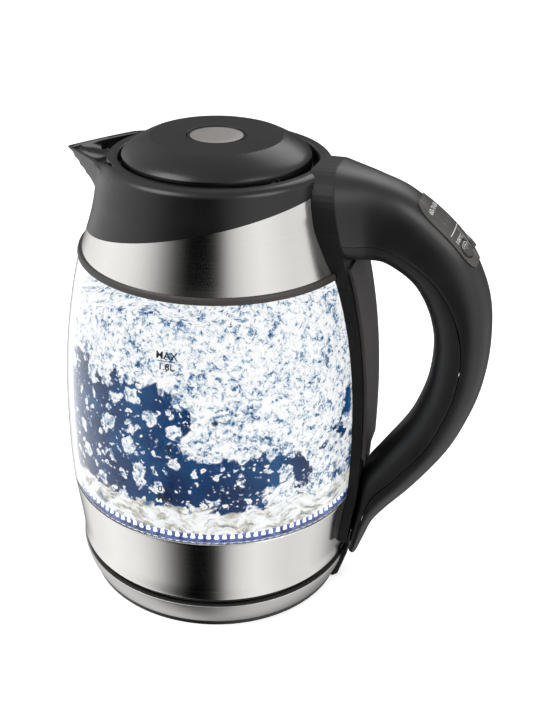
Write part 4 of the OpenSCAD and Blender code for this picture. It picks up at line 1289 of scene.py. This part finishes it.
@dataclass
class Collar(Assembly):
    """The black moulding over the steel band, with its mouth and its pouring beak."""

    border_z: float = 216.4
    border_slope: float = 0.2419
    root_r: float = 57.2
    tip_x: float = 78.4
    tip_r: float = 1.8
    beak_low_z: float = 221.5
    tip_z: float = 234.6
    edge_z: float = 237.6
    full_reach: float = 80.2
    lip_depth: float = 6
    skin_rows: int = 14
    around: int = 288

    def reach(self, turn: float, z: float) -> float:
        """Distance of the beak's side from the axis.

        Args:
            turn: Angle from the beak's middle, in radians.
            z: Height.

        Returns:
            The beak's radius there, a little under the collar's where it has ended.
        """
        rise = min(1.0, max(0.02, (z - self.beak_low_z) / (self.tip_z - self.beak_low_z)))
        away = self.tip_x * rise
        small = self.root_r * (1 - rise) + self.tip_r * rise
        meet = math.acos(min(1.0, (self.root_r - small) / away))
        if turn > meet:
            return self.root_r - 9 * min(1.0, (turn - meet) / 0.3)
        nose = math.atan2(small * math.sin(meet), away + small * math.cos(meet))
        if turn < nose:
            return away * math.cos(turn) + math.sqrt(
                max(0.0, small**2 - (away * math.sin(turn)) ** 2)
            )
        return self.root_r / math.cos(turn - meet)

    def border(self, angle: float) -> float:
        """Height of the slanted lower border at an angle around the axis."""
        z = self.border_z
        for _ in range(4):
            z = self.border_z + self.border_slope * OUTLINE.upper(z) * math.cos(angle)
        return z

    def rows(self, angle: float) -> list[tuple[float, float]]:
        """The collar's section at an angle: up the skin, over the rim and down inside.

        Args:
            angle: Angle around the axis, in radians.

        Returns:
            A closed section of (radius, height) points, equally many at each angle.
        """
        turn = abs(angle % math.tau - math.pi)
        low = self.border(angle)
        top_reach = self.reach(turn, self.tip_z)
        share = smooth_step(top_reach - self.root_r, 0.0, 3.5)
        fall = min(1.0, max(0.0, (top_reach - self.root_r) / (self.full_reach - self.root_r)))
        edge = self.edge_z - (self.edge_z - self.tip_z) * fall
        skin_top = OUTLINE.shoulder_z + (edge - 0.8 - OUTLINE.shoulder_z) * share
        section = []
        for s in spread(0, 1, self.skin_rows):
            z = low + (skin_top - low) * s
            section.append((smooth_max(OUTLINE.upper(z), self.reach(turn, z), 2.0), z))
        out = max(top_reach, section[-1][0])
        hollow = [max(self.reach(turn, z) - wall, 54.9) for z, wall in ((230, 2.7), (226.8, 2.9))]
        plain = [
            (57.25, 235.3), (56.9, 236.1), (56.3, 236.8), (55.6, 237.4), (54.7, 237.85),
            (53.8, 238.1), (53.4, 238.18), (53.0, 238.22), (52.6, 238.25), (52.3, 238.28),
            (52.0, 238.3),
        ]
        beak = [
            (out, edge - 0.3), (out - 0.35, edge), (out - 1.1, edge + 0.1),
            (out - 1.9, edge), (out - 2.25, edge - 0.35), (out - 2.5, edge - 1.4),
            (hollow[0], 230.6), (hollow[1], 227.3), (54.7, 227.2),
            (54.35, 237.0), (53.6, 238.0),
        ]
        for (r0, z0), (r1, z1) in zip(plain, beak):
            section.append((r0 + (r1 - r0) * share, z0 + (z1 - z0) * share))
        away = abs((angle + math.pi) % math.tau - math.pi)
        wide = 1 - smooth_step(away, math.radians(60), math.radians(70))
        section += [
            (50.9 + 0.3 * wide, 238.3), (49.2 + 1.8 * wide, 238.3),
            (48.75 + 1.9 * wide, 238.0), (48.6 + 1.6 * wide, 237.3),
            (48.6, 233.2), (48.6, 226.0), (57.0, 223.3),
        ]
        lip = low - self.lip_depth
        section += [
            (OUTLINE.upper(lip) - 3.0, min(lip, 222.6)),
            (OUTLINE.upper(lip) - 1.0, lip),
            (OUTLINE.upper(low) - 1.0, low),
        ]
        return section

    def in_hollow(self, face: bpy.types.MeshPolygon) -> bool:
        """Whether a face is on the polished inside of the beak."""
        middle = face.center / MM
        radius = math.hypot(middle.x, middle.y)
        outwards = Vector((middle.x, middle.y, 0)).normalized()
        turn = abs(math.atan2(middle.y, -middle.x))
        return (
            54.2 < radius < self.reach(turn, middle.z) - 0.8
            and middle.x < -30
            and 226 < middle.z < 237
            and face.normal.z > -0.3
            and face.normal.dot(outwards) < 0.2
        )

    def build(self) -> None:
        """Makes the collar as one closed skin."""
        angles = [math.tau * j / self.around for j in range(self.around)]
        sections = [self.rows(a) for a in angles]
        count = len(sections[0])

        def place(i: int, j: int) -> Vector:
            radius, z = sections[j][i % count]
            return Vector((radius * math.cos(angles[j]), radius * math.sin(angles[j]), z))

        skin = Shape("collar_piece").loft(count + 1, self.around, place).merge(0.0002)
        piece = skin.finish(self.inks["collar"], 40)
        piece.data.materials.append(self.inks["beak"])
        for face in piece.data.polygons:
            if self.in_hollow(face):
                face.material_index = 1
        self.place(piece, "collar_plastic", "collar")


# ---- Lid ----


@dataclass
class Lid(Assembly):
    """The domed lid with its flat top, its push button and the parts under them."""

    radius: float = 46.9
    top_z: float = 248.0
    flat_r: float = 32.7
    hole_r: float = 14.7

    def cover(self) -> None:
        """The dome: a flat top, a convex shoulder, a lip and a skirt."""
        outline = [
            (self.hole_r, self.top_z - 0.05), (22.0, self.top_z),
            (self.flat_r, self.top_z - 0.05), (35.2, 247.1), (38.6, 245.4),
            (41.6, 243.75), (44.2, 242.05), (45.9, 240.7), (46.75, 239.6),
            (self.radius, 238.6), (self.radius, 231.0), (self.radius - 2.0, 231.0),
            (self.radius - 2.0, 238.2), (43.4, 239.9), (36.4, 244.1), (31.8, 245.8),
            (self.hole_r, 245.8),
        ]
        dome = Shape("lid_cover_piece").spin(outline, 200)
        rim = [e for e in dome.bm.edges if e.calc_face_angle(0.0) > math.radians(40)]
        bmesh.ops.bevel(
            dome.bm, geom=rim, offset=0.35, offset_type="OFFSET", affect="EDGES",
            segments=3, profile=0.5, material=-1,
        )
        self.place(dome.finish(self.inks["collar"], 16), "collar_plastic", "lid_cover")

    def button_cap(self) -> None:
        """The metal cap on the button, faintly domed, with a bevelled edge."""
        cap = Shape("button_cap_piece").spin(
            [
                (0.0, 247.86), (7.0, 247.84), (12.9, 247.74), (13.7, 247.5),
                (14.25, 246.95), (14.25, 245.7), (0.0, 245.7),
            ],
            160,
        )
        self.place(cap.finish(self.inks["button"], 25), "button_metal", body="button")

    def build(self) -> None:
        """Makes the lid's pieces and dresses the mechanism under it."""
        self.cover()
        self.button_cap()
        self.dress(
            {
                "lid_liner": "black",
                "lid_seal": "clear_silicone",
                "lid_button": "black",
                "button_spring": "plain_steel",
                "latch_bolt": "black",
                "hinge_pin": "dark_steel",
                "lid_spring": "dark_steel",
            }
        )


# ---- Handle ----


class GripSide(Enum):
    """The grip's two shells: the one on top and the one under the fingers."""

    OUTER = "outer"
    UNDER = "under"


@dataclass(frozen=True)
class Section:
    """One cross-section of the grip, in the handle's middle plane."""

    inner: tuple[float, float]
    outer: tuple[float, float]
    half_width: float
    seam: float


@dataclass
class Handle(Assembly):
    """The loop handle in two shells, with the strap that carries it up the jug."""

    roundness: float = 2.6
    wall: float = 2.2
    tail_gap: float = 3.6
    steps: int = 6

    def __post_init__(self) -> None:
        """Fills in the stations that the grip's smooth curve runs through."""
        inner = {z: OUTLINE.body(z) + self.tail_gap for z in (73, 55, 39, 26)}
        rows = [
            (OUTLINE.strap(195), 195, OUTLINE.strap(240.4), 240.4, 25.5, 112),
            (76.2, 194.6, 71.5, 238.2, 22, 112),
            (81, 194.8, 81, 235.7, 19.2, 110),
            (88.4, 193.8, 96.5, 230, 17.4, 108),
            (99.4, 187.5, 115.5, 216.6, 16.9, 104),
            (106.2, 179.6, 128.8, 201.8, 16.5, 98),
            (111.6, 168.4, 138.8, 180, 16.5, 92),
            (114.5, 155, 141.9, 156, 16.5, 88),
            (113.9, 137.4, 140.6, 134, 16.5, 86),
            (110.5, 122, 135.7, 114.3, 16.5, 86),
            (104.2, 106, 127.2, 93.3, 16.5, 86),
            (91.5, 85.5, 112.6, 70.2, 16.5, 88),
            (inner[73], 73, 99.8, 53.6, 16.5, 90),
            (inner[55], 55, 92.3, 43, 16.5, 90),
            (inner[39], 39, 88.5, 32.5, 16.5, 90),
            (inner[26], 26, 85.3, 23, 15.5, 90),
        ]
        self.stations = [Section((a, b), (c, d), w, s) for a, b, c, d, w, s in rows]

    def section(self, t: float) -> Section:
        """The grip's section at a place counted in stations, on a smooth curve."""
        last = len(self.stations) - 1
        i = min(int(math.floor(t)), last - 1)
        near = [self.stations[min(max(k, 0), last)] for k in range(i - 1, i + 3)]
        u = t - i

        def curve(values: Sequence[float]) -> float:
            a, b, c, d = values
            return 0.5 * (
                2 * b
                + (c - a) * u
                + (2 * a - 5 * b + 4 * c - d) * u * u
                + (3 * b - a - 3 * c + d) * u**3
            )

        return Section(
            (curve([s.inner[0] for s in near]), curve([s.inner[1] for s in near])),
            (curve([s.outer[0] for s in near]), curve([s.outer[1] for s in near])),
            curve([s.half_width for s in near]),
            curve([s.seam for s in near]),
        )

    def point(self, t: float, angle: float, off: float = 0.0) -> Vector:
        """A point on the grip.

        Args:
            t: Place along the grip, counted in stations.
            angle: Angle from the grip's outer side, in degrees.
            off: Distance outside the surface.

        Returns:
            The point in millimetres.
        """
        s = self.section(t)
        dx, dz = s.outer[0] - s.inner[0], s.outer[1] - s.inner[1]
        half = math.hypot(dx, dz) / 2
        power = 2 / self.roundness
        c, d = math.cos(math.radians(angle)), math.sin(math.radians(angle))
        along = (half + off) * math.copysign(abs(c) ** power, c)
        across = (s.half_width + off) * math.copysign(abs(d) ** power, d)
        return Vector(
            (
                (s.inner[0] + s.outer[0]) / 2 + dx / (2 * half) * along,
                across,
                (s.inner[1] + s.outer[1]) / 2 + dz / (2 * half) * along,
            )
        )

    def half(self, name: str, side: GripSide, ink: str) -> bpy.types.Object:
        """One of the grip's two mouldings, from seam to seam, with its wall.

        Args:
            name: The piece's name.
            side: Which of the two shells it is.
            ink: Its finish.

        Returns:
            The finished piece.
        """
        around = 42
        last = len(self.stations) - 1
        places = [*spread(0, last, last * self.steps + 1), last + 0.001]

        def place(i: int, j: int) -> Vector:
            seam = self.section(min(places[i], last)).seam
            low, high = -seam + 0.5, seam - 0.5
            if side is GripSide.UNDER:
                low, high = seam + 0.7, 359.3 - seam
            shift = places[i] > last
            # The outer arc carries the surface and the inner arc the wall behind it.
            if j < around:
                angle, off = low + (high - low) * j / (around - 1), 0.0
            else:
                angle, off = high - (high - low) * (j - around) / (around - 1), -self.wall
            if shift:
                off -= 1.2
            end = self.point(min(places[i], last), angle, off)
            return end + Vector((0, 0, -0.9)) if shift else end

        shape = Shape(name).loft(len(places), 2 * around, place).fill()
        rims = [
            e for e in shape.bm.edges
            if len(e.link_faces) == 2 and e.calc_face_angle(0.0) > math.radians(50)
        ]
        bmesh.ops.bevel(
            shape.bm, geom=rims, offset=0.3, offset_type="OFFSET", affect="EDGES",
            segments=2, profile=0.5, material=-1, clamp_overlap=True,
        )
        return shape.finish(self.inks[ink], 40)

    def build(self) -> None:
        """Makes the handle's pieces and dresses the strap."""
        for name, side, ink, node, slot in (
            (
                "grip_outer_piece", GripSide.OUTER, "grip", "handle_outer_shell",
                "handle_top_plastic",
            ),
            (
                "grip_inner_piece", GripSide.UNDER, "black", "handle_inner_shell",
                "black_plastic",
            ),
        ):
            self.place(self.half(name, side, ink), slot, node)
        self.dress(
            {
                "handle_strap": "black",
                "strap_cover": "cover",
                "strap_screws": "plain_steel",
                "handle_ribbon": "clear_silicone",
                "control_board": "board",
                "tact_switches": "black",
                "control_panel": "film",
            }
        )


@dataclass
class ControlPanel(Assembly):
    """The film over the keys on the grip, with its generic print."""

    grip: Handle
    key_t: float = 4.72
    key_y: float = 5.6
    film_top: float = 0.7
    key_top: float = 0.79
    station_mm: float = 22.0

    def wrap(self, piece: bpy.types.Object, t: float, y: float, off: float) -> None:
        """Lays a flat print on the grip, with its X across the grip and its Y towards the jug.

        Args:
            piece: The print, in metres.
            t: Place of its origin along the grip, counted in stations.
            y: Place of its origin across the grip, in millimetres.
            off: Height over the grip's surface, in millimetres.
        """
        for vert in piece.data.vertices:
            across = y + vert.co.x / MM
            along = t - vert.co.y / MM / self.station_mm
            share = abs(across) / self.grip.section(along).half_width
            angle = math.degrees(math.asin(min(1.0, share ** (self.grip.roundness / 2))))
            place = self.grip.point(along, math.copysign(angle, across), off)
            vert.co = place * MM

    def stroke(self, name: str, width: float, height: float) -> bpy.types.Object:
        """A flat printed bar around the origin, cut finely enough to bend."""
        shape = Shape(name)
        bmesh.ops.create_grid(shape.bm, x_segments=14, y_segments=14, size=0.5)
        turn = Matrix.Diagonal((width, height, 1.0, 1.0))
        return shape.finish(self.inks["print_white"], turn=turn)

    def rings(self, name: str) -> Shape:
        """Two printed rings around the origin, for a key."""
        shape = Shape(name)
        for radius, width in ((3.75, 0.34), (2.45, 0.34)):
            loops = []
            for r in (radius, radius - width):
                made = bmesh.ops.create_circle(
                    shape.bm, cap_ends=False, segments=48, radius=r
                )
                loops += {e for v in made["verts"] for e in v.link_edges}
            bmesh.ops.bridge_loops(shape.bm, edges=loops)
        return shape

    def build(self) -> None:
        """Makes the print and dresses the film and the keys."""
        self.dress({"power_key": "film", "temperature_key": "film"})
        film, keys = self.film_top, self.key_top
        scale = lettering("scale_print", "60-70-80-90", 2.3, self.inks["print_white"])
        self.wrap(scale, 3.62, 0.0, film)
        self.place(scale, "handle_top_plastic")
        for side, word in ((-1, "100\u00b0C"), (1, "\u00b0C")):
            label = lettering(f"key_label_{side}", word, 2.3, self.inks["print_white"])
            self.wrap(label, 4.47, side * self.key_y, film)
            self.place(label, "handle_top_plastic")
        for name, width, height, t in (
            ("cross_line", 19.0, 0.55, 4.2),
            ("long_line", 0.3, 19.0, 4.66),
        ):
            bar = self.stroke(name, width, height)
            self.wrap(bar, t, 0.0, film)
            self.place(bar, "handle_top_plastic")
        for i in range(4):
            dot = Shape(f"lamp_dot_{i}")
            bmesh.ops.create_circle(dot.bm, cap_ends=True, segments=20, radius=0.7)
            lamp = dot.finish(self.inks["film_lamp"])
            self.wrap(lamp, 3.92, (i - 1.5) * 4.4, film)
            self.place(lamp, "handle_top_plastic")
        for side, body in ((-1, "power_key"), (1, "temperature_key")):
            mark = self.rings(f"{body}_mark").finish(self.inks["print_white"])
            self.wrap(mark, self.key_t, side * self.key_y, keys)
            self.place(mark, "key_plastic", body=body)
            bar = self.stroke(f"{body}_bar", 0.38, 2.6)
            self.wrap(bar, self.key_t - 0.03, side * self.key_y, keys + 0.01)
            self.place(bar, "key_plastic", body=body)


def main() -> None:
    """Builds the kettle in order, from the base up."""
    logging.basicConfig(level=logging.INFO, format="%(name)s: %(message)s")
    inks = FinishBook().make()
    studio = Studio(inks)
    studio.camera()
    studio.surroundings()
    studio.lamps()
    studio.floor()
    PowerBase(inks, "base").build()
    Jug(inks, "kettle").build()
    Boil(inks, "kettle").build()
    Collar(inks, "kettle").build()
    Lid(inks, "lid").build()
    handle = Handle(inks, "kettle")
    handle.build()
    ControlPanel(inks, "kettle", handle).build()
    Assembly(inks, "coupler").dress({"coupler_socket": "black", "coupler_contacts": "brass"})


if __name__ == "__main__":
    main()
